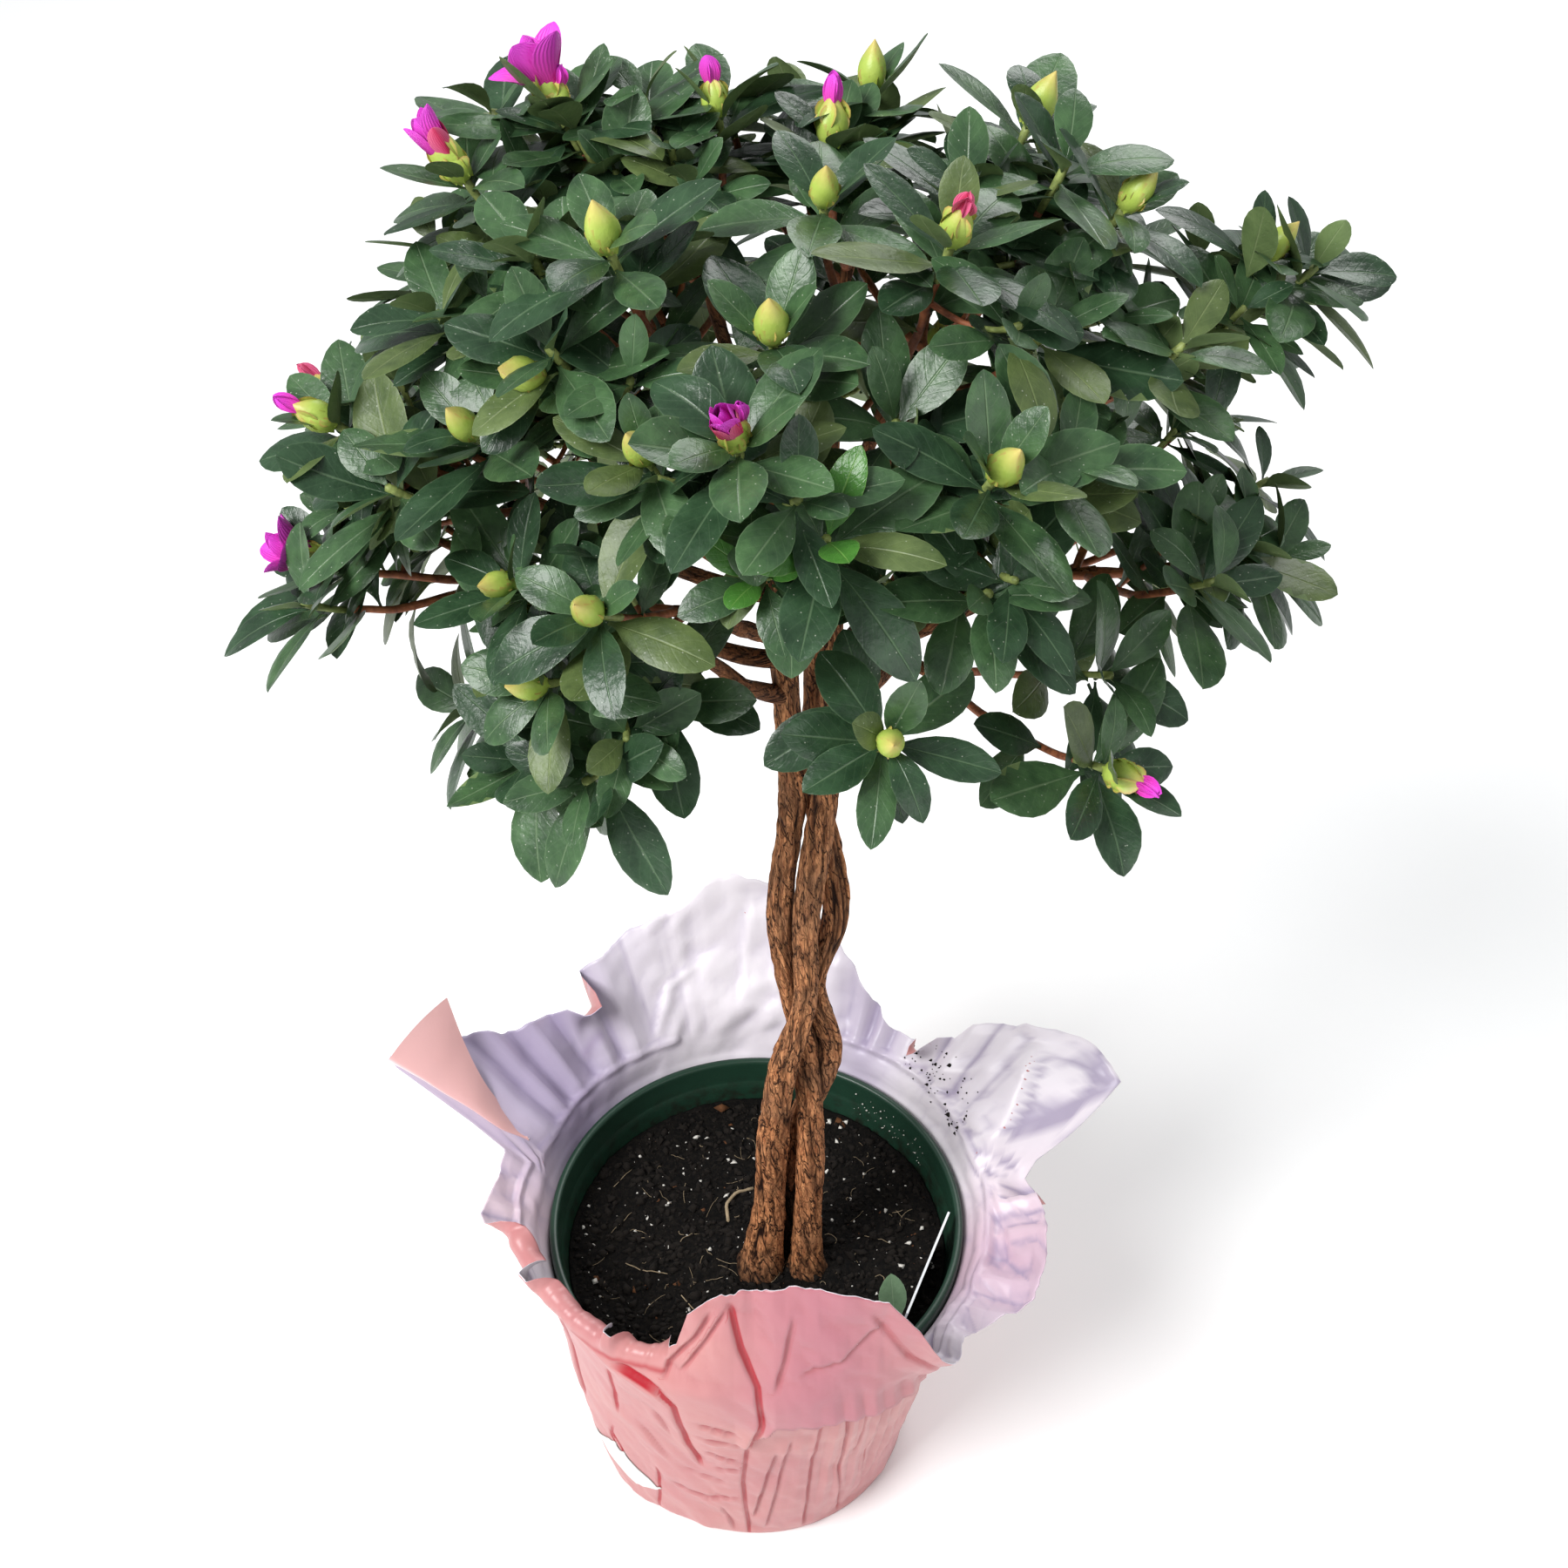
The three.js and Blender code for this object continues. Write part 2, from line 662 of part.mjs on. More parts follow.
function makeSpray(spray, plans, limbs, taken) {
  const fits = (points) =>
    points.every((p) => inOwnSpace(p, spray, plans, OWN_SPACE_MARGIN) && clearOfLimbs(p, limbs));
  const stem = limb([spray.start, spray.hub], [BOUGH.tipRadius, TWIG.hubRadius], TWIG.sides);

  const shoots = [];
  shootTips(spray, plans).forEach((tip, k) => {
    const axis = tip.clone().sub(DOME.centre).normalize().addScaledVector(UP, SPRAY.lift).normalize();
    const inner = spray.hub.clone().lerp(spray.start, Math.min(SPRAY.fork * k, 0.9));
    const foot = tip.clone().addScaledVector(axis, -WHORLS.length * WHORL.height);
    const line = [axis, foot.clone().sub(inner).normalize()]
      .map((bend) => twigLine(inner, foot, bend))
      .find((way) => fits(way.slice(1)));
    if (!line) return;
    const budTip = tip.clone().addScaledVector(axis, BUD.length);
    shoots.push({ k, axis, rings: shootRings(line, axis), hasBud: k < BUD.shoots && fits([budTip]) });
  });

  // Leaves are dropped where they would cut across a twig or another leaf.
  const bare = shoots.map(({ rings, axis, hasBud }) => shootSolid(rings, [], axis, hasBud));
  let filled = wasm.Manifold.union([stem, ...bare]);
  const leafy = shoots.map(({ k, axis, rings, hasBud }) => {
    const leaves = [];
    for (let n = 0; n < WHORLS.length * TWIG.sides; n++) {
      const sway = WHORL.sway * (chance(spray.index, k, n + 4) - 0.5);
      const leaf = leafSizes(rings, axis, Math.floor(n / TWIG.sides), n % TWIG.sides, sway).find(
        ({ foot, points }) => fits(points) && bladeSolid(foot, points).intersect(filled).isEmpty(),
      );
      if (!leaf) continue;
      leaves[n] = leaf.points;
      filled = filled.add(bladeSolid(leaf.foot, leaf.points));
    }
    return shootSolid(rings, leaves, axis, hasBud);
  });
  return largestBody(wasm.Manifold.union([stem, ...leafy]).simplify(SLIVER).subtract(taken));
}

// ---- Assembly ----

function material(color, roughness) {
  return new THREE.MeshStandardMaterial({ color, roughness, metalness: 0 });
}

const paper = material(0xe8a0a4, 0.45);
const plastic = material(0x1f4a34, 0.5);
const peat = material(0x1c1715, 0.95);
const bark = material(0x7a4a2c, 0.85);
const leafGreen = material(0x2f5a38, 0.5);
const card = material(0xd9dadc, 0.4);

const azalea = new THREE.Group();
azalea.add(meshOf("pot_cover", makeCover(), paper));
azalea.add(meshOf("pot", makePot(), plastic));
const labelFoot = SOIL.topZ - LABEL.buried;
azalea.add(meshOf("soil", makeSoil(labelBox(CLEARANCE, labelFoot)), peat));
azalea.add(meshOf("plant_label", labelBox(0, labelFoot), card));

const limbs = [];
let taken = null; // every limb so far, grown by the clearance
for (const stem of STEMS) {
  const { line, radii } = stemLine(stem, 0);
  let solid = limb(line, radii, STEM_SIDES);
  const grown = stemLine(stem, CLEARANCE);
  if (taken) solid = largestBody(solid.subtract(taken));
  const grownSolid = limb(grown.line, grown.radii, STEM_SIDES);
  taken = taken ? taken.add(grownSolid) : grownSolid;
  limbs.push({ line, radii });
  azalea.add(meshOf(stem.name, flatFoot(solid), bark));
}

const plans = SPRAYS.map(makeSprayPlan);
for (const spray of plans) {
  const { line, radii } = boughLine(spray);
  const solid = largestBody(limb(line, radii, BOUGH.sides).subtract(taken));
  const end = line.at(-1).clone().sub(line.at(-2)).setLength(CLEARANCE).add(line.at(-1));
  taken = taken.add(limb([...line.slice(0, -1), end], radii.map((r) => r + CLEARANCE), BOUGH.sides));
  limbs.push({ line, radii });
  azalea.add(meshOf("bough_" + spray.name, solid, bark));
}
for (const spray of plans) {
  azalea.add(meshOf("foliage_" + spray.name, makeSpray(spray, plans, limbs, taken), leafGreen));
}

export default azalea;
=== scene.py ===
import itertools
import math

import bpy
import numpy as np
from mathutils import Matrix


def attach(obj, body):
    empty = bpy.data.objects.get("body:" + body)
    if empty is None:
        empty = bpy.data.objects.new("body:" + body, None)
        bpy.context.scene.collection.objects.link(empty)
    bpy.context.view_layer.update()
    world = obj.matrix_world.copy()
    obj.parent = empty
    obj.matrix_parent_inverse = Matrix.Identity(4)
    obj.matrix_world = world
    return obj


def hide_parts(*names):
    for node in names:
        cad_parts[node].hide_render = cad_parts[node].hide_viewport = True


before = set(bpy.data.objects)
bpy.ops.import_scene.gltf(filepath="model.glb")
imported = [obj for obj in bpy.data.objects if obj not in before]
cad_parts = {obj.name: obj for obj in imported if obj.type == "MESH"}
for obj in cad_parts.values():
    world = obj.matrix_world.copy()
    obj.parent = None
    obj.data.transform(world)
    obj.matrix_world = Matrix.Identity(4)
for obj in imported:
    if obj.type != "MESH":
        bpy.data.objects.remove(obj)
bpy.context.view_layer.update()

# ---- Pot cover ----
# A preformed pot cover: one sheet of film-coated paper, pink outside and pearl white inside, pressed
# over a former. It is pleated against the pot and flares above the rim in a crumpled skirt, folded
# back on itself at the left and rolled in along the left front. The pot only stands in it.

COVER_WALL = {"foot_radius": 63.0, "foot_height": 1.0, "rim_radius": 85.6, "rim_height": 135.0}
GIRTH_RADIUS = 86.0  # at which distances round the sheet are taken
COVER_OUTSIDE = 1.0  # the outside lies this far out from the line of the wall and skirt
PAPER_THICKNESS = 0.4
COVER_COLUMNS, WALL_ROWS, SKIRT_ROWS = 548, 70, 42
SKIRT_BEND = 0.35  # share of the skirt over which it bends to its full lean
SKIRT = [  # azimuth, length, lean from upright; straight between them
    (5.6, 25, 60), (8.3, 31, 60), (11.5, 57, 58), (13, 79, 53), (19.5, 78, 48), (27, 63, 42), (37, 47, 41),
    (40, 35, 41), (49, 25, 40), (54, 23, 38), (62, 32, 34), (69, 47, 32), (79, 67, 30), (87, 75, 30),
    (95, 81, 30), (101, 78, 30), (106, 70, 31), (115, 65, 33), (125, 58, 34), (133, 53, 40), (138, 45, 44),
    (149, 53, 50), (155.5, 67, 54), (161, 80, 57), (166.5, 88, 58), (168, 24, 57), (174, 23, 56),
    (182, 27, 54), (189, 30, 52), (196, 31, 48), (203, 30, 42), (214, 28, 34), (223, 27, 26), (232, 25, 18),
    (237, 24, 8), (243, 26, 0), (247, 29, -4), (251, 31, -5), (254, 52, -7), (262, 62, -10), (270, 64, -12),
    (286, 70, -4), (299, 67, 8), (304, 54, 20), (308, 38, 34), (312, 33, 42), (316, 21, 50), (323, 19, 55),
    (329, 32, 62), (333, 39, 64), (340, 41, 64), (352, 35, 64), (357, 33, 62),
]
CURLS = [  # azimuth, and how far the skirt's edge rolls inwards there in degrees
    (41, 0), (43, 120), (46, 130), (48, 0), (130, 0), (132, 100), (136, 90), (138, 0), (191, 0),
    (194, 130), (200, 190), (205, 150), (207, 30), (210, 20), (212, 130), (220, 190), (230, 160),
    (232, 40), (234, 30), (236, 150), (241, 190), (246, 120), (249, 0),
]
CRUMPLE = [  # azimuth, height of the pleats and height of the crumpling above the rim
    (0, 2.4, 4.0), (12, 1.0, 1.8), (30, 1.4, 2.4), (48, 2.4, 1.2), (62, 3.0, 1.2), (74, 1.4, 2.4),
    (90, 0.6, 2.3),
    (112, 0.9, 2.1), (120, 2.6, 1.2), (135, 3.4, 0.6), (152, 3.2, 0.5), (164, 2.4, 0.4), (172, 2.0, 1.8),
    (195, 1.6, 1.2), (215, 0.8, 0.8), (232, 0.6, 0.8), (250, 0.4, 1.2), (285, 0.3, 1.5), (305, 0.6, 1.4),
    (320, 1.8, 2.6), (335, 2.6, 4.2), (350, 2.6, 4.4),
]
# Folds pressed into the sheet: points as (azimuth, distance up the sheet), depth, width, and how red the
# painted shade in the fold is.
SHEET_FOLDS = [
    ([(234, 147), (240, 143), (246, 140), (250, 130), (251, 97), (254, 72)], 1.5, 1.7, 1),
    ([(234, 146), (239, 144), (244, 141), (248, 138)], 1.6, 3.8, 1),
    ([(231, 134), (230, 114), (229, 92)], 0.8, 1.2, 1),
    ([(224, 72), (221, 58), (222, 43)], 0.7, 1.0, 1),
    ([(221, 66), (224, 52), (225, 34)], 0.7, 1.0, 1),
    ([(238, 56), (236, 30), (232, 2)], 0.8, 1.1, 1),
    ([(264, 194), (267, 171), (271, 153), (272, 128), (268, 96)], 1.8, 1.7, 0.8),
    ([(260, 190), (256, 175), (249, 156), (248, 146)], 1.8, 1.6, 0.35),
    ([(280, 192), (278, 170), (275, 150)], 1.5, 1.8, 0.15),
    ([(296, 196), (304, 168), (312, 158)], 1.5, 1.7, 0.2),
    ([(268, 100), (266, 61), (267, -8)], 1.3, 1.4, 0.7),
    ([(276, 90), (269, 22)], 1.5, 1.2, 0.35),
    ([(280, 102), (276, 43), (273, 8)], 1.4, 1.1, 0.3),
    ([(288, 132), (287, 57), (287, 4)], 1.6, 1.3, 0.5),
    ([(295, 132), (297, 53), (302, 0)], 1.6, 1.2, 0.35),
    ([(302, 134), (301, 66)], 1.4, 1.2, 0.3),
    ([(308, 132), (307, 59), (310, 14)], 1.8, 1.3, 0.45),
    ([(313, 132), (312, 80)], 1.4, 1.2, 0.4),
    ([(241, 44), (254, 40), (265, 46)], 1.1, 1.2, 0.15),
    ([(254, 120), (267, 112)], 1.3, 1.1, 0.15),
    ([(253, 106), (268, 102)], 1.2, 1.1, 0.15),
    ([(255, 92), (267, 84)], 1.2, 1.1, 0.15),
    ([(257, 74), (267, 78)], 1.1, 1.1, 0.15),
    ([(243, 118), (247, 96)], 0.9, 1.2, 0.1),
    ([(236, 96), (244, 70)], 0.8, 1.4, 0),
    ([(247, 66), (262, 60)], 0.8, 1.3, 0),
    ([(258, 34), (262, 4)], 1.1, 1.2, 0.2),
    ([(318, 128), (322, 30)], 2.0, 1.6, 0.4),
    ([(334, 130), (331, 40)], 1.8, 1.5, 0.4),
    ([(350, 128), (352, 20)], 1.8, 1.5, 0.4),
    ([(12, 126), (8, 40)], 1.8, 1.5, 0.4),
    ([(31, 130), (36, 24)], 2.0, 1.5, 0.4),
    ([(57, 120), (52, 30)], 1.8, 1.5, 0.4),
    ([(78, 132), (81, 10)], 2.0, 1.5, 0.4),
    ([(103, 128), (98, 50)], 1.8, 1.5, 0.4),
    ([(124, 130), (128, 16)], 2.0, 1.5, 0.4),
    ([(147, 122), (144, 34)], 1.8, 1.5, 0.4),
    ([(171, 130), (175, 22)], 1.8, 1.5, 0.4),
    ([(193, 126), (190, 40)], 1.8, 1.5, 0.4),
    ([(210, 130), (209, 66)], 1.8, 1.4, 0.6),
    ([(24, 198), (15, 170), (9, 150)], 1.6, 2.4, 0),
    ([(119, 150), (112, 172), (97, 184)], 1.5, 2.3, 0),
    ([(84, 156), (86, 192)], 1.5, 2.3, 0),
    ([(94, 160), (91, 205)], 1.4, 2.3, 0),
    ([(76, 160), (80, 196)], 1.4, 2.2, 0),
    ([(264, 192), (252, 152)], 1.6, 1.4, 0.3),
    ([(300, 190), (290, 168), (280, 160)], 1.2, 1.4, 0.1),
]
# Where the front flap bulges out over the wall: azimuth, height of its lower edge, depth.
FLAP_LEDGE = [
    (265, 98, 0), (269, 103, 3), (275, 126, 7), (286, 130, 10), (298, 130, 12), (309, 131, 12), (316, 132, 7),
    (322, 134, 0),
]
PLEATS = 84  # pressed round the sheet
PRESSED_BAND = 12.0  # from the rim to the crease at which the skirt leaves the pot
# The part that is folded back: its free edge from the rim out to the corner, and the fold's azimuth.
EAR_EDGE = [(-97, 31, 153), (-108.4, 37, 169), (-117, 47.3, 182), (-124, 58, 199)]
EAR = {"azimuth": 166.4, "from": 20.0, "to": 87.0, "roll": 7.0, "columns": 44, "rows": 28}


def along_stations(rows, at):
    """Catmull-Rom through rows of numbers, the first of which is the parameter."""
    rows, at = np.asarray(rows, float), np.atleast_1d(np.asarray(at, float))
    i = np.minimum(np.searchsorted(rows[1:, 0], at, "left"), len(rows) - 2)
    before, start, end, after = (rows[np.clip(i + step, 0, len(rows) - 1)] for step in (-1, 0, 1, 2))
    rise = end[:, :1] - start[:, :1]
    t = np.clip((at[:, None] - start[:, :1]) / rise, 0, 1)
    leave = (end - before) / (end[:, :1] - before[:, :1]) * rise
    arrive = (after - start) / (after[:, :1] - start[:, :1]) * rise
    value = (
        (2 * t**3 - 3 * t**2 + 1) * start
        + (t**3 - 2 * t**2 + t) * leave
        + (3 * t**2 - 2 * t**3) * end
        + (t**3 - t**2) * arrive
    )
    return value[:, 1:].T


def round_table(rows, azimuth):
    """Straight-line values of a table at azimuths in degrees, carried on round the circle."""
    rows = np.array(rows, float)
    return [np.interp(azimuth, rows[:, 0], column, period=360) for column in rows[:, 1:].T]


def scatter(x, y, z, seed):
    """A repeatable number from 0 to 1 for each whole-number place."""
    x, y, z = (value.astype(np.int64) for value in (x, y, z))
    mixed = (x * 73856093) ^ (y * 19349663) ^ (z * 83492791)
    mixed = mixed ^ (seed * 1013904223)
    mixed = ((mixed ^ (mixed >> 13)) * 1274126177) & 0xFFFFFFFF
    return ((mixed ^ (mixed >> 16)) & 0xFFFF) / 65535.0


def lumps(points, size, seed):
    """Smooth noise from -1 to 1 with lumps of one size in millimetres."""
    cell = np.asarray(points, float) / size
    low = np.floor(cell)
    part = cell - low
    part = part * part * (3 - 2 * part)
    total = 0.0
    for corner in itertools.product((0, 1), repeat=3):
        weight = np.prod(np.where(corner, part, 1 - part), axis=-1)
        at = low + corner
        total = total + weight * (2 * scatter(at[..., 0], at[..., 1], at[..., 2], seed) - 1)
    return total


def flat_facets(across, along, count, seed):
    """Uneven heights from -1 to 1 joined by flat triangles one across; count of them go round."""
    column, row = np.floor(across), np.floor(along)
    a, b = across - column, along - row

    def height(right, up):
        return 2 * scatter(np.mod(column + right, count), row + up, 0 * row, seed) - 1

    low = height(0, 0) * (1 - a - b) + height(1, 0) * a + height(0, 1) * b
    high = height(1, 1) * (a + b - 1) + height(0, 1) * (1 - a) + height(1, 0) * (1 - b)
    return np.where(a + b < 1, low, high)


def pleat_line(turn, count, seed):
    """Ridges and valleys by turns, of uneven height from -1 to 1; count of both go round."""
    cell = np.floor(turn)
    part = turn - cell

    def node(right):
        n = np.mod(cell + right, count)
        return np.where(n % 2 == 0, 1, -1) * (0.25 + 0.75 * scatter(n, 0 * n, 0 * n, seed))

    return node(0) * (1 - part) + node(1) * part


def smooth_step(value):
    value = np.clip(value, 0, 1)
    return value * value * (3 - 2 * value)


def linear(colour):
    """The linear colour of an sRGB hex value such as #2f5a38."""
    parts = [int(colour[i : i + 2], 16) / 255 for i in (1, 3, 5)]
    return [p / 12.92 if p <= 0.04045 else ((p + 0.055) / 1.055) ** 2.4 for p in parts] + [1.0]


def result(source):
    """What a node gives, where a link is given as a node and not as a socket."""
    if isinstance(source, bpy.types.Node):
        return source.outputs[2 if source.bl_idname == "ShaderNodeMix" else 0]
    return source


def add_node(material, kind, settings=(), links=()):
    """Adds a node; a setting is one of its properties or inputs, and a link feeds an input. A hex
    value is turned to linear, and a Mix node mixes colours."""
    node = material.node_tree.nodes.new("ShaderNode" + kind)
    if kind == "Mix":
        node.data_type = "RGBA"
    for key, value in dict(settings).items():
        if isinstance(key, str) and hasattr(node, key):
            setattr(node, key, value)
        else:
            node.inputs[key].default_value = linear(value) if isinstance(value, str) else value
    for key, source in dict(links).items():
        material.node_tree.links.new(result(source), node.inputs[key])
    return node


def begin_material(name, **settings):
    """A new material and its surface shader, with the shader's own sockets set."""
    material = bpy.data.materials.new(name)
    material.use_nodes = True
    shader = material.node_tree.nodes["Principled BSDF"]
    for key, value in settings.items():
        shader.inputs[key.replace("_", " ")].default_value = value
    return material, shader


def finish_surface(material, shader, colour, height, strength, distance):
    """Gives the shader its colour, and its relief from a height whose full depth is in metres."""
    bump = add_node(material, "Bump", {"Strength": strength, "Distance": distance}, {"Height": height})
    material.node_tree.links.new(result(colour), shader.inputs["Base Color"])
    material.node_tree.links.new(bump.outputs["Normal"], shader.inputs["Normal"])


def make_piece(name, points, faces, materials, face_materials=None, values=(), uv=None):
    """A smooth piece from millimetre points, rows of corner numbers and values at the points; the
    uv is given at the points or at the faces' corners."""
    faces = np.asarray(faces, np.int32)
    mesh = bpy.data.meshes.new(name)
    mesh.vertices.add(len(points))
    mesh.vertices.foreach_set("co", (np.asarray(points, np.float32) * 0.001).ravel())
    mesh.loops.add(faces.size)
    mesh.loops.foreach_set("vertex_index", faces.ravel())
    mesh.polygons.add(len(faces))
    mesh.polygons.foreach_set("loop_start", np.arange(0, faces.size, faces.shape[1], dtype=np.int32))
    for material in materials:
        mesh.materials.append(material)
    if face_materials is not None:
        mesh.polygons.foreach_set("material_index", np.asarray(face_materials, np.int32))
    for label, numbers in dict(values).items():
        layer = mesh.attributes.new(label, "FLOAT", "POINT")
        layer.data.foreach_set("value", np.asarray(numbers, np.float32).ravel())
    if uv is not None:
        at_corners = uv if len(uv) == faces.size else np.asarray(uv)[faces.ravel()]
        mesh.uv_layers.new(name="surface").data.foreach_set("uv", np.asarray(at_corners, np.float32).ravel())
    mesh.update(calc_edges=True)
    mesh.validate()
    mesh.shade_smooth()
    piece = bpy.data.objects.new(name, mesh)
    bpy.context.scene.collection.objects.link(piece)
    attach(piece, "root")
    return piece


def sheet_faces(rows, columns, first=0, closed=True, flip=False):
    """Quads over a grid of points held row by row."""
    r, c = np.meshgrid(np.arange(rows - 1), np.arange(columns if closed else columns - 1), indexing="ij")
    a, b = r * columns + c, r * columns + (c + 1) % columns
    quads = np.stack([a, b, b + columns, a + columns], -1).reshape(-1, 4) + first
    return quads[:, ::-1] if flip else quads


def fold_depth(around, up, points, depth, width):
    """A pressed fold that fades out at its ends: its depth, the distance from its line with a sign
    for the side, and how much of the fold there is."""
    line = [(np.radians(a) * GIRTH_RADIUS, h) for a, h in points]
    spans = [math.dist(a, b) for a, b in zip(line[:-1], line[1:])]
    near, side, run = np.full(around.shape, 1e9), np.zeros(around.shape), np.zeros(around.shape)
    for i, ((ax, ay), (bx, by)) in enumerate(zip(line[:-1], line[1:])):
        dx, dy = bx - ax, by - ay
        t = np.clip(((around - ax) * dx + (up - ay) * dy) / spans[i] ** 2, 0, 1)
        gap = np.hypot(around - ax - t * dx, up - ay - t * dy)
        closer = gap < near
        turn = np.sign((around - ax) * dy - (up - ay) * dx)
        near, side = np.where(closer, gap, near), np.where(closer, turn, side)
        run = np.where(closer, sum(spans[:i]) + t * spans[i], run)
    fade = smooth_step(0.15 + np.minimum(run, sum(spans) - run) / 9)  # over 9 mm at each end
    groove = 1.2 * width
    lip = 0.3 * np.clip(1 - (near - groove) / (8 * width), 0, 1)
    lap = np.where(near < groove, 1.3 * smooth_step(near / groove) - 1, lip)
    under = -np.exp(-near / groove)
    return depth * fade * np.where(side > 0, lap, under), near * np.where(side < 0, -1, 1), fade


# The columns of points stand closer together across the front, where the sheet is folded most.
fine_turn = np.linspace(0, 360, 3601)
points_passed = np.cumsum(1 + 1.2 * smooth_step((75 - np.abs(fine_turn - 268)) / 15))
azimuths = np.interp(np.arange(COVER_COLUMNS) / COVER_COLUMNS * points_passed[-1], points_passed, fine_turn)
cos_az, sin_az = np.cos(np.radians(azimuths)), np.sin(np.radians(azimuths))
ring = np.stack([GIRTH_RADIUS * cos_az, GIRTH_RADIUS * sin_az, 0 * cos_az], -1)
skirt_length, skirt_lean = round_table(SKIRT, azimuths)
skirt_length = skirt_length + 1.0 * lumps(ring, 4, 3) + 0.7 * lumps(ring, 1.7, 4)
curl = np.interp(azimuths, *np.array(CURLS, float).T, left=0, right=0)
wall_rise = COVER_WALL["rim_height"] - COVER_WALL["foot_height"]
wall_spread = COVER_WALL["rim_radius"] - COVER_WALL["foot_radius"]
wall_length, wall_lean = math.hypot(wall_rise, wall_spread), math.atan2(wall_spread - 1, wall_rise + 1)
share = np.linspace(0, 1, WALL_ROWS)[:, None] + 0 * azimuths
middle = (np.arange(SKIRT_ROWS)[:, None] + 0.5) / SKIRT_ROWS
leans = wall_lean + (np.radians(skirt_lean) - wall_lean) * smooth_step(middle / SKIRT_BEND)
leans = leans - np.radians(curl) * smooth_step((middle - 0.5) / 0.5)
step = skirt_length / SKIRT_ROWS
line_radius = np.vstack([
    COVER_WALL["foot_radius"] + wall_spread * share,
    COVER_WALL["rim_radius"] + np.cumsum(np.sin(leans) * step, 0),
])
line_height = np.vstack([
    COVER_WALL["foot_height"] + wall_rise * share,
    COVER_WALL["rim_height"] + np.cumsum(np.cos(leans) * step, 0),
])
line_lean = np.vstack([wall_lean + 0 * share, leans])
past_rim = np.vstack([wall_length * (share - 1), (np.arange(SKIRT_ROWS)[:, None] + 1) * step])
up_sheet = past_rim + wall_length
azimuth_grid = azimuths + 0 * up_sheet
around = np.radians(azimuth_grid) * GIRTH_RADIUS
on_ring = np.stack([ring[:, 0] + 0 * up_sheet, ring[:, 1] + 0 * up_sheet, up_sheet], -1)
on_skirt = smooth_step((past_rim - PRESSED_BAND + 4) / 9)

# Crumpling: flat facets a few centimetres across, with finer ones on them, and radial pleats.
drift, sway = lumps(on_ring, 31, 21), lumps(on_ring, 23, 22)
large = flat_facets(azimuth_grid / 360 * 22 + 0.5 * drift, up_sheet / 31 + 0.6 * sway, 22, 11)
medium = flat_facets(azimuth_grid / 360 * 46 + 0.5 * sway, up_sheet / 13 - 0.5 * drift, 46, 12)
small = flat_facets(azimuth_grid / 360 * 110 + 0.5 * drift, up_sheet / 6.5 + 0.5 * sway, 110, 13)
pleat_turn = azimuth_grid / 360 * PLEATS + 0.9 * lumps(ring, 17, 23) + 0.35 * drift
pleats = pleat_line(pleat_turn, PLEATS, 14)
pleat_height, crumpling = round_table(CRUMPLE, azimuths)
fine_pleats = pleat_line(azimuth_grid / 360 * 150 + 0.8 * drift, 150, 15)
fan = 1.1 * smooth_step(1 - np.abs(azimuths - 305) / 38) * smooth_step((up_sheet - 8) / 40)
depth = (1 - on_skirt) * (1.0 * large + 0.7 * medium + 0.35 * small + fan * fine_pleats)
depth += on_skirt * (pleat_height * pleats + crumpling * (0.8 * large + 0.9 * medium + 0.4 * small))
turned_down = np.clip(9 + 0.32 * (past_rim - 12) - azimuth_grid, 0, 12) * (azimuth_grid < 30)
depth += np.radians(turned_down) * line_radius * 0.5 * smooth_step((past_rim - 14) / 10)
band = np.clip(1 - np.abs(past_rim - PRESSED_BAND - 2 * drift) / 2.2, 0, 1)
depth -= 1.5 * band * (pleat_height > 1)
# Painted shade in the crease where the skirt leaves the pot.
painted_crease_shade = 0.35 * band * (pleat_height > 1)
# The painted shade in a fold is drawn where its line runs: for the nearest fold, the distance from it with a
# sign, in units of the shade's reach, and how dark it is.
FOLD_SHADE_REACH = 0.34  # share of the fold's width
fold_side, fold_share = np.full(up_sheet.shape, 9.0), np.zeros(up_sheet.shape)
for points, fold, width, fold_shade_red in SHEET_FOLDS:
    shift, signed, fade = fold_depth(around, up_sheet, points, fold, width)
    depth += shift
    signed = signed / (FOLD_SHADE_REACH * width)
    nearer = (np.abs(signed) < np.abs(fold_side)) & (fold_shade_red > 0) & (fade > 0.1)
    fold_side, fold_share = np.where(nearer, signed, fold_side), np.where(nearer, fold_shade_red * fade, fold_share)
fold_near, fold_side = np.minimum(np.abs(fold_side), 9), np.clip(fold_side, -9, 9)
ledge_azimuths, *ledge_columns = np.array(FLAP_LEDGE, float).T
ledge_up, ledge_depth = (np.interp(azimuths, ledge_azimuths, column) for column in ledge_columns)
above_ledge = up_sheet - ledge_up
depth += ledge_depth * smooth_step(above_ledge / 2.6) * np.exp(-np.maximum(above_ledge, 0) / 40)
# Painted shade along the lower edge of the flap, where it bulges out over the wall.
painted_crease_shade = np.maximum(
    painted_crease_shade, np.clip(1 - np.abs(above_ledge - 0.6) / 2.0, 0, 1) * np.minimum(ledge_depth / 9, 0.6)
)
rolled = smooth_step((past_rim / skirt_length - 0.42) / 0.12) * (curl > 30)
# Painted shade inside the edge where it rolls in.
painted_crease_shade = np.maximum(painted_crease_shade, 0.9 * rolled * smooth_step(1 - (past_rim / skirt_length - 0.5) / 0.12))
# The wall stands out a little round the left front, and further low down at the left.
bulge = 1.8 * smooth_step(1 - np.abs(azimuths - 232) / 62) * (1 - on_skirt)
bulge = bulge + 4.8 * smooth_step(1 - np.abs(azimuths - 210) / 36) * smooth_step((118 - up_sheet) / 70)
depth = np.where(past_rim < 1, np.clip(depth, -2.4, 12), depth)
depth = depth * smooth_step(up_sheet / 6) * (1 - 0.6 * rolled)
depth += bulge * smooth_step(up_sheet / 3)


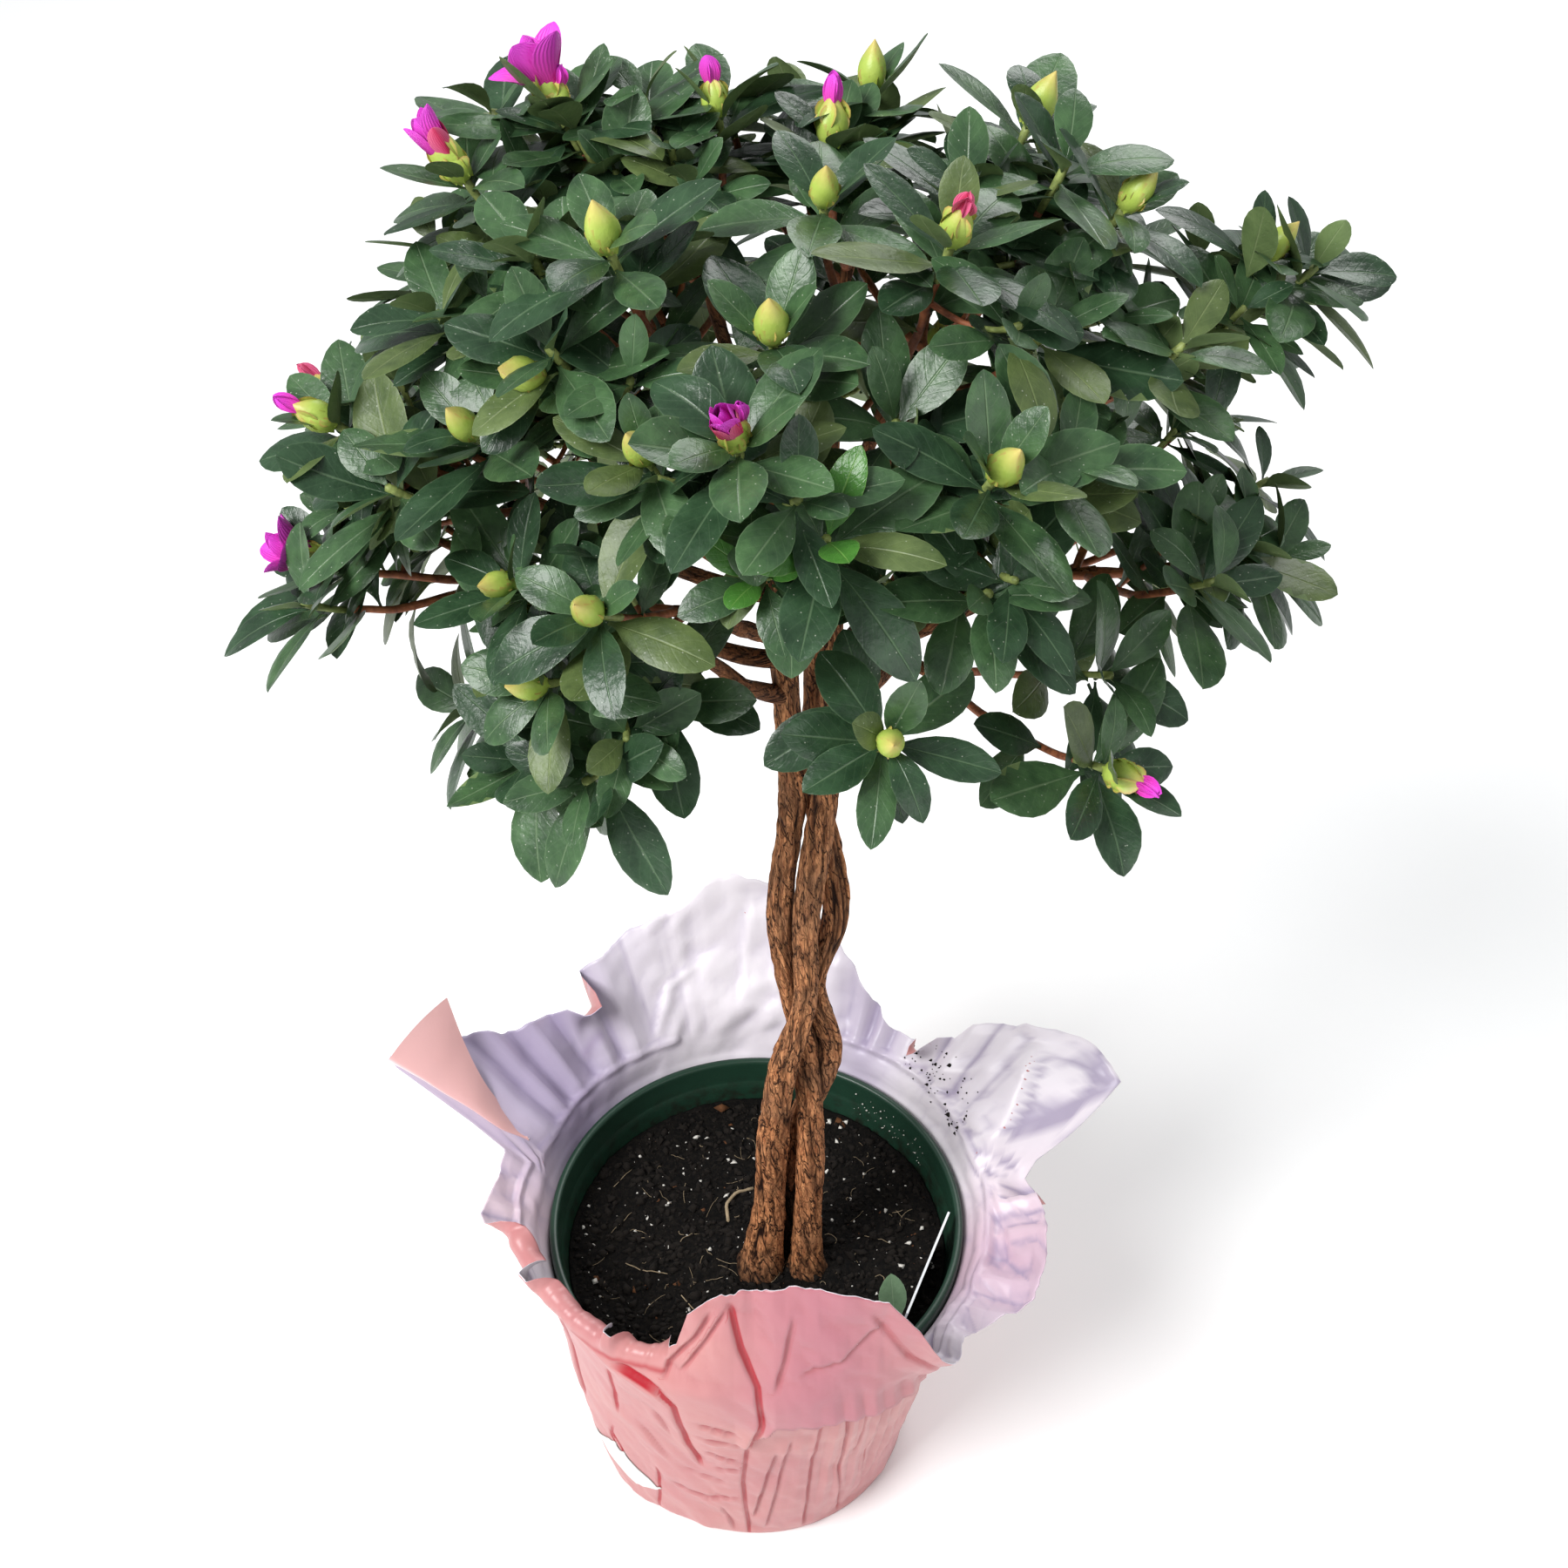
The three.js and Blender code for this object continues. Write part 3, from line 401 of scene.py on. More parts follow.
def evened_out(grid, reach):
    """The grid's own values averaged over so many rows and columns to each side."""
    padded = np.pad(
        np.pad(grid, ((reach, reach), (0, 0)), mode="edge"), ((0, 0), (reach, reach)), mode="wrap"
    )
    across = sum(padded[:, i : i + grid.shape[1]] for i in range(2 * reach + 1)) / (2 * reach + 1)
    return sum(across[i : i + grid.shape[0]] for i in range(2 * reach + 1)) / (2 * reach + 1)


# Hollows of the sheet, painted with the shade that they would lie in: those of one side are ridges on the
# other.
standing_out = 0.4 * (depth - evened_out(depth, 4)) / 1.3 + 0.8 * (depth - evened_out(depth, 1)) / 0.45
standing_out = np.clip(standing_out, -1, 1) * (1 - 0.8 * rolled)


def cover_points(offset):
    r = line_radius + (offset + depth) * np.cos(line_lean)
    z = line_height - (offset + depth) * np.sin(line_lean)
    return np.stack([r * cos_az, r * sin_az, np.maximum(z, 0.05)], -1)


def cover_base(z, radii):
    return np.stack([np.stack([r * cos_az, r * sin_az, 0 * cos_az + z], -1) for r in radii])


outside_sheet, inside_sheet = cover_points(COVER_OUTSIDE), cover_points(COVER_OUTSIDE - PAPER_THICKNESS)
# Facing the pot the sheet lies out of sight, so its inside is kept plain there.
out_of_sight = smooth_step(-(past_rim + 1) / 4)[..., None]
plain_inside = np.stack([(line_radius - 1.9) * cos_az, (line_radius - 1.9) * sin_az, line_height], -1)
inside_sheet = inside_sheet * (1 - out_of_sight) + plain_inside * out_of_sight
inner_rows = np.concatenate(
    [np.arange(0, WALL_ROWS - 6, 8), np.arange(WALL_ROWS - 6, WALL_ROWS + SKIRT_ROWS)]
)
outside = np.concatenate([cover_base(0.0, (0.5, 32, 60, 63)), outside_sheet])
inside = np.concatenate([cover_base(0.7, (0.5, 32, 60, 62)), inside_sheet[inner_rows]])
half = len(outside) * COVER_COLUMNS
edge_row = half - COVER_COLUMNS + np.arange(COVER_COLUMNS)
next_row = half - COVER_COLUMNS + (np.arange(COVER_COLUMNS) + 1) % COVER_COLUMNS
to_inside = len(inside) * COVER_COLUMNS
edge_faces = np.stack([edge_row, next_row, next_row + to_inside, edge_row + to_inside], -1)
outside_faces = sheet_faces(len(outside), COVER_COLUMNS)
inside_faces = sheet_faces(len(inside), COVER_COLUMNS, first=half, flip=True)

# The folded-back part: from the radial fold line it rolls up and lies back over the skirt, so that
# its pink side shows.
column = int(np.searchsorted(azimuths, EAR["azimuth"])) - 1
along_fold = np.linspace(0, 1, EAR["columns"])
fold_out = EAR["from"] + (EAR["to"] - EAR["from"]) * along_fold
fold_rows = fold_out / skirt_length[column] * SKIRT_ROWS + WALL_ROWS - 1
middle_sheet = 0.5 * (outside_sheet + inside_sheet)
fold_line = np.stack([
    np.interp(fold_rows, np.arange(len(middle_sheet)), middle_sheet[:, column, i]) for i in range(3)
], -1)
edge_points = np.array([fold_line[0] + (0, 0, 1.2)] + EAR_EDGE)
edge_share = np.array([0, 0.12, 0.42, 0.7, 1.0])
free_edge = along_stations(np.column_stack([edge_share, edge_points]), along_fold).T
around_fold = np.array([-0.225, -0.974, 0.0])
roll = EAR["roll"] * smooth_step(along_fold * 4 + 0.1)[:, None]
one = fold_line + around_fold * roll
two = fold_line + around_fold * roll * 0.8 + np.array([0, 0, 1.5]) * roll
t = np.linspace(0, 1, EAR["rows"])[None, :, None] ** 1.2
ear_mid = (
    fold_line[:, None] * (1 - t) ** 3 + 3 * one[:, None] * t * (1 - t) ** 2
    + 3 * (0.75 * two + 0.25 * free_edge)[:, None] * t**2 * (1 - t) + free_edge[:, None] * t**3
)
ear_mid = ear_mid + np.array([0, 0, 1.2]) * lumps(ear_mid, 19, 41)[..., None] * t * (1 - t) * 3
ear_normal = np.cross(np.gradient(ear_mid, axis=0), np.gradient(ear_mid, axis=1))
ear_normal /= np.linalg.norm(ear_normal, axis=-1, keepdims=True) + 1e-9
ear_count, ear_first = EAR["columns"] * EAR["rows"], half + to_inside
ear_sides = [(ear_mid + ear_normal * PAPER_THICKNESS / 2 * side).reshape(-1, 3) for side in (1, -1)]
ear_faces = [
    sheet_faces(EAR["columns"], EAR["rows"], first=ear_first + i * ear_count, closed=False, flip=flip)
    for i, flip in enumerate((False, True))
]


def film_coated_paper(name, light, deep, crease_shade, crease_shade_share, painted_hollow_shade, tints):
    """Paper with a film coating: IOR 1.5, satin; fine wrinkles of 2 to 7 mm catch the light."""
    material, shader = begin_material(name, IOR=1.5, Roughness=0.38)
    place = add_node(material, "TexCoord").outputs["Object"]
    cloud = add_node(material, "TexNoise", {"Scale": 1 / 0.045, "Detail": 3}, {"Vector": place})
    shade = add_node(material, "Mix", {6: light, 7: deep}, {0: cloud})
    colour = shade.outputs[2]
    for label, tint in tints:
        where = add_node(material, "Attribute", {"attribute_name": label}).outputs["Fac"]
        colour = add_node(material, "Mix", {7: tint}, {0: where, 6: colour}).outputs[2]
    # Painted shade in the hollows of the crumpled sheet.
    shaded = add_node(material, "Attribute", {"attribute_name": "painted_hollow_shade"}).outputs["Fac"]
    shade_share = add_node(material, "Math", {"operation": "MULTIPLY", 1: 0.75}, {0: shaded})
    colour = add_node(material, "Mix", {7: painted_hollow_shade}, {0: shade_share, 6: colour}).outputs[2]
    # Painted shade in the folds and creases, in the crease colour.
    fold = add_node(material, "Attribute", {"attribute_name": "fold_shade"}).outputs["Fac"]
    side = add_node(material, "Attribute", {"attribute_name": "fold_side"}).outputs["Fac"]
    off = add_node(material, "Math", {"operation": "ABSOLUTE"}, {0: side})
    line = add_node(material, "MapRange", {"From Min": 2.5, "From Max": 1.7}, {"Value": off})
    near = add_node(material, "Attribute", {"attribute_name": "fold_near"}).outputs["Fac"]
    held = add_node(material, "MapRange", {"From Min": 5.0, "From Max": 4.0}, {"Value": near})
    share = add_node(material, "Attribute", {"attribute_name": "fold_share"}).outputs["Fac"]
    drawn = add_node(material, "Math", {"operation": "MULTIPLY"}, {0: line, 1: held})
    dark = add_node(material, "Math", {"operation": "MULTIPLY"}, {0: drawn, 1: share})
    deepest = add_node(material, "Math", {"operation": "MAXIMUM"}, {0: fold, 1: dark})
    strength = add_node(material, "Math", {"operation": "MULTIPLY", 1: crease_shade_share}, {0: deepest})
    colour = add_node(material, "Mix", {7: crease_shade}, {0: strength, 6: colour}).outputs[2]
    wide = add_node(
        material, "TexNoise", {"Scale": 1 / 0.007, "Detail": 3, "Roughness": 0.5}, {"Vector": place}
    )
    finish_surface(material, shader, colour, wide, 0.3, 0.0006)
    return material


pink_outside = film_coated_paper(
    "film_coated_paper_pink", "#c68b85", "#b57178", "#a80f22", 1.0, "#a85c60",
    [("painted_mauve_shade", "#ab6677"), ("pale", "#d9aaa8"), ("painted_fold_highlight", "#ecdfe3")],
)
pearl_inside = film_coated_paper(
    "film_coated_paper_pearl", "#ebe5e9", "#d9d0da", "#8d799c", 0.6, "#9386a4",
    [("painted_lilac_shade", "#9b8cac"), ("painted_light_through_pink", "#cf9dad")],
)


def near_azimuth(centre, reach):
    return smooth_step(1 - np.abs(np.mod(azimuths - centre + 180, 360) - 180) / reach)


# Painted lilac shade on the skirt's inside, most at the back left.
painted_lilac_shade = 0.85 * near_azimuth(150, 46) + 0.6 * near_azimuth(60, 18) + 0.45 * near_azimuth(338, 34)
# Painted pink light that shines through the sheet onto its inside, at the right front and at the left.
painted_light_through_pink = 0.5 * near_azimuth(345, 34) + 0.4 * near_azimuth(182, 24)
# Painted mauve shade on the upper part of the front flap.
painted_mauve_shade = 0.7 * near_azimuth(287, 34) * smooth_step((up_sheet - 118) / 8)
rows_of = [len(outside), len(inside)]
# Where the ear bends over, a pale strip is painted along the roll as its highlight.
painted_fold_highlight_ear = (0.85 * np.exp(-(((t[0, :, 0] - 0.2) / 0.07) ** 2)) * smooth_step(3 * along_fold)[:, None]).ravel()
painted_hollow_shade_grid = np.vstack([
    np.zeros((4, COVER_COLUMNS)), np.maximum(-standing_out, 0), np.zeros((4, COVER_COLUMNS)),
    (np.maximum(standing_out, 0) * (1 - 0.7 * near_azimuth(92, 52)))[inner_rows],
])


def over_sheet(grid, ear=0.0):
    """A value of the grid's points for the whole piece: outside, inside and the folded-back part."""
    base = np.zeros((4, COVER_COLUMNS))
    return np.concatenate(
        [np.vstack([base, grid, base, grid[inner_rows]]).ravel(), np.full(2 * ear_count, ear)]
    )


cover = make_piece(
    "cover_sheet",
    np.concatenate([outside.reshape(-1, 3), inside.reshape(-1, 3)] + ear_sides),
    np.concatenate([outside_faces, inside_faces, edge_faces] + ear_faces),
    [pink_outside, pearl_inside],
    np.concatenate([
        np.zeros(len(outside_faces)), np.ones(len(inside_faces) + len(edge_faces)),
        np.ones(len(ear_faces[0])), np.zeros(len(ear_faces[1])),
    ]),
    values={
        "fold_shade": over_sheet(painted_crease_shade), "fold_side": over_sheet(fold_side, 9.0),
        "fold_near": over_sheet(fold_near, 9.0), "fold_share": over_sheet(fold_share),
        "painted_lilac_shade": over_sheet(painted_lilac_shade + 0 * depth), "painted_light_through_pink": over_sheet(painted_light_through_pink + 0 * depth),
        "painted_hollow_shade": np.concatenate([painted_hollow_shade_grid.ravel(), np.zeros(2 * ear_count)]),
        "painted_mauve_shade": over_sheet(painted_mauve_shade),
        "pale": np.concatenate([np.zeros(sum(rows_of) * COVER_COLUMNS), np.full(2 * ear_count, 0.85)]),
        "painted_fold_highlight": np.concatenate([np.zeros(sum(rows_of) * COVER_COLUMNS), painted_fold_highlight_ear, painted_fold_highlight_ear]),
    },
)
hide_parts("pot_cover")

# ---- Price sticker ----
# A plain white self-adhesive paper sticker on the cover's left front, low down and put on askew.
# It is left blank.

STICKER = {"azimuth": 223, "up": 35, "long": 30, "wide": 17, "turn": 52, "wall_radius": 68}
STICKER_CELLS = (40, 24)


def on_cover(azimuth, up):
    """A point on the cover's outside, from the grid made above."""
    column = np.interp(azimuth, azimuths, np.arange(COVER_COLUMNS))
    row = up / wall_length * (WALL_ROWS - 1)
    grid = outside_sheet
    c, r = np.floor(column).astype(int), np.floor(row).astype(int)
    fc, fr = (column - c)[..., None], (row - r)[..., None]
    c2 = (c + 1) % COVER_COLUMNS
    low, high = (grid[at, c] * (1 - fc) + grid[at, c2] * fc for at in (r, r + 1))
    return low * (1 - fr) + high * fr


long_way, wide_way = np.meshgrid(
    np.linspace(-0.5, 0.5, STICKER_CELLS[0]) * STICKER["long"],
    np.linspace(-0.5, 0.5, STICKER_CELLS[1]) * STICKER["wide"],
    indexing="ij",
)
turn = math.radians(STICKER["turn"])
across = long_way * math.cos(turn) + wide_way * math.sin(turn)
upward = -long_way * math.sin(turn) + wide_way * math.cos(turn)
sticker_azimuths = STICKER["azimuth"] + np.degrees(across / STICKER["wall_radius"])
sticker_face = on_cover(sticker_azimuths, STICKER["up"] + upward)
outward = np.stack([sticker_face[..., 0], sticker_face[..., 1], 0 * sticker_face[..., 0]], -1)
outward /= np.linalg.norm(outward, axis=-1, keepdims=True)
sticker_grid = np.concatenate(
    [(sticker_face + 0.4 * outward).reshape(-1, 3), (sticker_face + 0.1 * outward).reshape(-1, 3)]
)
cells = STICKER_CELLS[0] * STICKER_CELLS[1]
sticker_paper, shader = begin_material("self_adhesive_paper_white", IOR=1.5, Roughness=0.5)
place = add_node(sticker_paper, "TexCoord").outputs["Object"]
fibre = add_node(sticker_paper, "TexNoise", {"Scale": 1 / 0.0015, "Detail": 3}, {"Vector": place})
paper_tone = add_node(sticker_paper, "Mix", {6: "#f4f4f1", 7: "#dcdcd8"}, {0: fibre})
sticker_paper.node_tree.links.new(paper_tone.outputs[2], shader.inputs["Base Color"])
sticker = make_piece(
    "cover_sticker",
    sticker_grid,
    np.concatenate([
        sheet_faces(*STICKER_CELLS, closed=False, flip=True),
        sheet_faces(*STICKER_CELLS, first=cells, closed=False),
    ]),
    [sticker_paper],
)

# ---- Nursery pot ----
# An injection-moulded polypropylene pot, dark green, with a rolled lip round its rim that stiffens it
# and lets pots be lifted and stacked. It stands loose inside the cover.

POT_COLUMNS = 180
POT_SECTION = [  # radius, height: up the outside, over the lip and down the inside
    (0.5, 1.3), (30, 1.3), (57.5, 1.3), (59.4, 1.5), (60.1, 2.2), (64.9, 32), (69.8, 62), (74.6, 92),
    (79.2, 120.6), (79.6, 121.8), (81.9, 122.1), (82.4, 122.6), (82.5, 124), (82.5, 133), (82.2, 134.3),
    (81.5, 134.9), (80.7, 135), (79.9, 134.9), (79.3, 134.3), (79.1, 133), (78.6, 124), (78.3, 122.9),
    (77.8, 122), (77.4, 119), (76.4, 113), (73, 92), (63.6, 34), (58.4, 3.6), (57, 3.1), (30, 3.1),
    (0.5, 3.1),
]
turned = 2 * np.pi * np.arange(POT_COLUMNS) / POT_COLUMNS
section = np.array(POT_SECTION)
pot_points = np.stack([
    section[:, :1] * np.cos(turned), section[:, :1] * np.sin(turned), section[:, 1:] + 0 * turned,
], -1)
# Moulded polypropylene: satin and even, dusted with dried soil above the soil line on the inside.
moulded_green, shader = begin_material("moulded_polypropylene_green", IOR=1.49, Roughness=0.38)
place = add_node(moulded_green, "TexCoord").outputs["Object"]
cloud = add_node(moulded_green, "TexNoise", {"Scale": 1 / 0.02, "Detail": 4}, {"Vector": place})
green = add_node(moulded_green, "Mix", {6: "#1d3c2d", 7: "#173023"}, {0: cloud})
height = add_node(moulded_green, "SeparateXYZ", {}, {"Vector": place})
low_part = add_node(
    moulded_green, "MapRange", {"From Min": 0.128, "From Max": 0.112}, {"Value": height.outputs["Z"]}
)
grime = add_node(
    moulded_green, "TexNoise", {"Scale": 1 / 0.005, "Detail": 6, "Roughness": 0.7}, {"Vector": place}
)
patches = add_node(moulded_green, "MapRange", {"From Min": 0.46, "From Max": 0.62}, {"Value": grime})
dusty = add_node(moulded_green, "Math", {"operation": "MULTIPLY"}, {0: low_part, 1: patches})
soiled = add_node(moulded_green, "Mix", {7: "#1b1611"}, {0: dusty, 6: green})
grain = add_node(moulded_green, "TexNoise", {"Scale": 1 / 0.0012, "Detail": 2}, {"Vector": place})
finish_surface(moulded_green, shader, soiled, grain, 0.25, 0.0002)
pot = make_piece(
    "nursery_pot", pot_points.reshape(-1, 3), sheet_faces(len(section), POT_COLUMNS), [moulded_green]
)
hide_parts("pot")

# ---- Soil ----
# Dark peat compost, filled to 2 cm below the rim and settled a little hollow, with crumbs, white
# perlite grains, pale root fibres and bark chips lying loose on it.

SOIL_LEVEL, SOIL_RADIUS = 112.0, 76.0
SOIL_ROWS, SOIL_COLUMNS = 88, 300
FOOT_CENTRE = (13.0, -4.0)  # middle of the stems' feet


def soil_height(x, y):
    r = np.hypot(x, y)
    at = np.stack([x, y, 0 * x], -1)
    from_feet = np.hypot(x - FOOT_CENTRE[0], y - FOOT_CENTRE[1])
    return (
        SOIL_LEVEL - 0.4
        + 2.4 * smooth_step((r - 58) / 18)
        + 2.2 * np.exp(-((from_feet / 20) ** 2))
        + 1.1 * lumps(at, 11, 51)
        + 0.8 * np.abs(lumps(at, 4.2, 52))
        + 0.55 * np.abs(lumps(at, 1.9, 53))
        + 0.3 * lumps(at, 1.0, 54)
    )


r = np.linspace(0.2, 1, SOIL_ROWS) ** 0.8
r = (r - r[0]) / (r[-1] - r[0]) * SOIL_RADIUS + 0.1
turned = 2 * np.pi * np.arange(SOIL_COLUMNS) / SOIL_COLUMNS
soil_x, soil_y = r[:, None] * np.cos(turned), r[:, None] * np.sin(turned)
soil_top = np.stack([soil_x, soil_y, soil_height(soil_x, soil_y)], -1)
narrowed = [[0.99], [0.76]]
below = np.stack([soil_x[[-1, -1]] * narrowed, soil_y[[-1, -1]] * narrowed, [[98.0], [4.0]] + 0 * turned], -1)
soil_points = np.concatenate([soil_top, below]).reshape(-1, 3)
# Damp peat: nearly black, dull all over, with a fine crumb of about 1 mm.
peat, shader = begin_material("peat_compost_damp", IOR=1.4, Roughness=0.93, Specular_IOR_Level=0.2)
place = add_node(peat, "TexCoord").outputs["Object"]
crumb = add_node(peat, "TexNoise", {"Scale": 1 / 0.0018, "Detail": 6, "Roughness": 0.7}, {"Vector": place})
patches = add_node(peat, "MapRange", {"From Min": 0.42, "From Max": 0.7}, {"Value": crumb})
peat_tone = add_node(peat, "Mix", {6: "#070606", 7: "#1c1814"}, {0: patches})
finish_surface(peat, shader, peat_tone, crumb, 0.9, 0.001)
soil = make_piece("soil_bed", soil_points, sheet_faces(SOIL_ROWS + 2, SOIL_COLUMNS), [peat])
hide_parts("soil")

# Loose grains: each an octahedron pulled out of shape.
OCTAHEDRON = np.array([(1, 0, 0), (-1, 0, 0), (0, 1, 0), (0, -1, 0), (0, 0, 1), (0, 0, -1)], float)
OCTAHEDRON_FACES = np.array([
    (0, 2, 4), (2, 1, 4), (1, 3, 4), (3, 0, 4), (2, 0, 5), (1, 2, 5), (3, 1, 5), (0, 3, 5),
])


def strew(count, smallest, largest, seed, squash=0.7, sink=0.3, edge=74):
    """Grains lying on the soil, more of them small than large."""
    chance = np.random.default_rng(seed)
    distance, turn = edge * np.sqrt(chance.random(count)), 2 * np.pi * chance.random(count)
    size = smallest + (largest - smallest) * chance.random(count) ** 3
    x, y = distance * np.cos(turn), distance * np.sin(turn)
    shape = OCTAHEDRON[None] * (0.6 + 0.8 * chance.random((count, 6, 1))) + 0.25 * chance.normal(
        size=(count, 6, 3)
    )
    stretch = np.stack([1 + 0.5 * chance.random(count), np.ones(count), np.full(count, squash)], -1)
    shape = shape * stretch[:, None] * size[:, None, None] / 2
    cos, sin = np.cos(turn * 5), np.sin(turn * 5)
    turned_x = shape[..., 0] * cos[:, None] - shape[..., 1] * sin[:, None]
    turned_y = shape[..., 0] * sin[:, None] + shape[..., 1] * cos[:, None]
    z = soil_height(x, y) + size * (0.5 * squash - sink)
    points = np.stack([turned_x + x[:, None], turned_y + y[:, None], shape[..., 2] + z[:, None]], -1)
    faces = OCTAHEDRON_FACES[None] + 6 * np.arange(count)[:, None, None]
    return points.reshape(-1, 3), faces.reshape(-1, 3)


def plain_grain(name, colour, other, roughness, size):
    """A matt mineral or woody crumb, mottled at its own size."""
    material, shader = begin_material(name, Roughness=roughness, Specular_IOR_Level=0.25)
    place = add_node(material, "TexCoord").outputs["Object"]
    speck = add_node(material, "TexNoise", {"Scale": 1 / size, "Detail": 3}, {"Vector": place})
    tone = add_node(material, "Mix", {6: colour, 7: other}, {0: speck})
    finish_surface(material, shader, tone, speck, 0.5, 0.0003)
    return material


peat_crumb = plain_grain("peat_crumb_dry", "#0f0c0a", "#1e1813", 0.95, 0.0008)
perlite = plain_grain("expanded_perlite", "#e9e6df", "#b9b4aa", 0.9, 0.0006)
bark_chip = plain_grain("composted_bark", "#6d4426", "#3a2415", 0.85, 0.001)
root_fibre = plain_grain("dried_root_fibre", "#b3a083", "#77674e", 0.8, 0.002)
for name, material, grains in [
    ("soil_crumbs", peat_crumb, strew(3400, 0.8, 4.2, 61)),
    ("soil_perlite", perlite, strew(330, 0.4, 2.6, 62)),
    ("soil_bark_chips", bark_chip, strew(110, 1.2, 6.0, 63, squash=0.3)),
]:
    piece = make_piece(name, *grains, [material])


def join(parts):
    """Joins lists of points and faces into one of each."""
    points, faces, start = [], [], 0
    for part_points, part_faces in parts:
        points.append(part_points)
        faces.append(part_faces + start)
        start += len(part_points)
    return np.concatenate(points), np.concatenate(faces)


def tube(line, radii, sides, relief=None):
    """A tapering tube along a line, closed at both ends by a short cone; relief adds to its radius."""
    line, radii = np.asarray(line, float), np.asarray(radii, float)
    tangent = np.gradient(line, axis=0)
    tangent /= np.linalg.norm(tangent, axis=1, keepdims=True)
    side, sides_at = np.array([1, 0.2, 0.05]), []
    for along in tangent:
        side = side - along * np.dot(side, along)
        side = side / np.linalg.norm(side)
        sides_at.append(side)
    sides_at = np.array(sides_at)
    other = np.cross(tangent, sides_at)
    turn = 2 * np.pi * np.arange(sides) / sides
    width = radii[:, None] + (0 if relief is None else relief)
    rings = line[:, None] + width[..., None] * (
        np.cos(turn)[None, :, None] * sides_at[:, None] + np.sin(turn)[None, :, None] * other[:, None]
    )
    rings = np.concatenate([
        line[:1, None] - tangent[:1, None] * radii[0] * 0.1 + 0 * rings[:1], rings,
        line[-1:, None] + tangent[-1:, None] * radii[-1] * 0.6 + 0 * rings[-1:],
    ])
    return rings.reshape(-1, 3), sheet_faces(len(rings), sides)


chance = np.random.default_rng(64)
fibres = []
for _ in range(110):
    start = 70 * math.sqrt(chance.random()), 2 * math.pi * chance.random()
    x, y = start[0] * math.cos(start[1]), start[0] * math.sin(start[1])
    heading, bend = 2 * math.pi * chance.random(), chance.normal() * 0.25
    reach = 2 + 11 * chance.random() ** 2
    line = []
    for i in range(7):
        ground = float(soil_height(np.array([x]), np.array([y]))[0])
        line.append((x, y, ground + 0.25 + 0.5 * abs(math.sin(i + start[1]))))
        x, y = x + math.cos(heading) * reach / 6, y + math.sin(heading) * reach / 6
        heading += bend
    fibres.append(tube(line, np.full(7, 0.08 + 0.07 * chance.random()), 3))
for run in [
    [(-53, -8), (-45, -12), (-36, -12)], [(-2, 30), (-9, 26), (-13, 20), (-12, 13)], [(-30, -22), (-24, -30)],
]:
    run = np.array(run, float)
    fine = np.linspace(0, len(run) - 1, 12)
    x, y = (np.interp(fine, np.arange(len(run)), run[:, i]) for i in (0, 1))
    rise = 1.6 * np.sin(np.linspace(0, np.pi, 12)) if len(run) == 4 else 0.3
    thick = 0.75 if len(run) == 4 else 0.22
    fibres.append(tube(np.stack([x, y, soil_height(x, y) + rise], -1), np.full(12, thick), 6))
fibre_piece = make_piece("soil_fibres", *join(fibres), [root_fibre])

for name, x, y, size, material in [
    ("soil_perlite_large", 14.5, -11.0, 3.4, perlite), ("soil_bark_large", -16.0, 70.0, 6.5, bark_chip),
]:
    lump = OCTAHEDRON * size / 2 * np.array([1.1, 0.8, 0.7]) + np.array(
        [x, y, float(soil_height(np.array([x]), np.array([y]))[0]) + size / 5]
    )
    piece = make_piece(name, lump, OCTAHEDRON_FACES, [material])

# Soil that was spilled on the skirt at the right, and white specks on the pot's wall behind: painted glints
# of water drops.
chance = np.random.default_rng(65)
spilled = []
for _ in range(80):
    azimuth, past = 22 + 26 * chance.random(), 9 + 22 * chance.random()
    c = int(np.searchsorted(azimuths, azimuth))
    row = WALL_ROWS - 1 + int(past / skirt_length[c] * SKIRT_ROWS)
    if row >= len(inside_sheet) - 2:
        continue
    size = 0.35 + 0.8 * chance.random() ** 3
    spilled.append(
        (inside_sheet[row, c] + OCTAHEDRON * size * (0.5 + chance.random((6, 1))), OCTAHEDRON_FACES)
    )
spill = make_piece("soil_spilled", *join(spilled), [peat_crumb])
# White specks on the pot's wall: painted glints of water drops.
glint_specks = []
for _ in range(46):
    azimuth, height = math.radians(28 + 30 * chance.random() ** 1.5), 118 + 12 * chance.random()
    radius = 77.0 + (height - 117) * 0.09
    place = np.array([radius * math.cos(azimuth), radius * math.sin(azimuth), height])
    glint_specks.append((place + OCTAHEDRON * (0.2 + 0.4 * chance.random() ** 2), OCTAHEDRON_FACES))
glint_piece = make_piece("pot_wall_painted_glints", *join(glint_specks), [perlite])

# ---- Plant label ----
# A blank care label: a 0.9 mm card of white polystyrene, pushed into the soil against the pot's wall.
# The solid's shape is right, so it keeps it.

die_cut_card, shader = begin_material("die_cut_polystyrene_white", IOR=1.59, Roughness=0.3)
place = add_node(die_cut_card, "TexCoord").outputs["Object"]
haze = add_node(die_cut_card, "TexNoise", {"Scale": 1 / 0.012, "Detail": 4}, {"Vector": place})
card_tone = add_node(die_cut_card, "Mix", {6: "#e8eaec", 7: "#c3c7c9"}, {0: haze})
die_cut_card.node_tree.links.new(card_tone.outputs[2], shader.inputs["Base Color"])
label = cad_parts["plant_label"]
label.data.materials.clear()
label.data.materials.append(die_cut_card)

# ---- Stems ----
# Three old rooted stems, plaited and tied while young and since grown into one another, with ridged
# fibrous bark. They flare where they enter the soil.

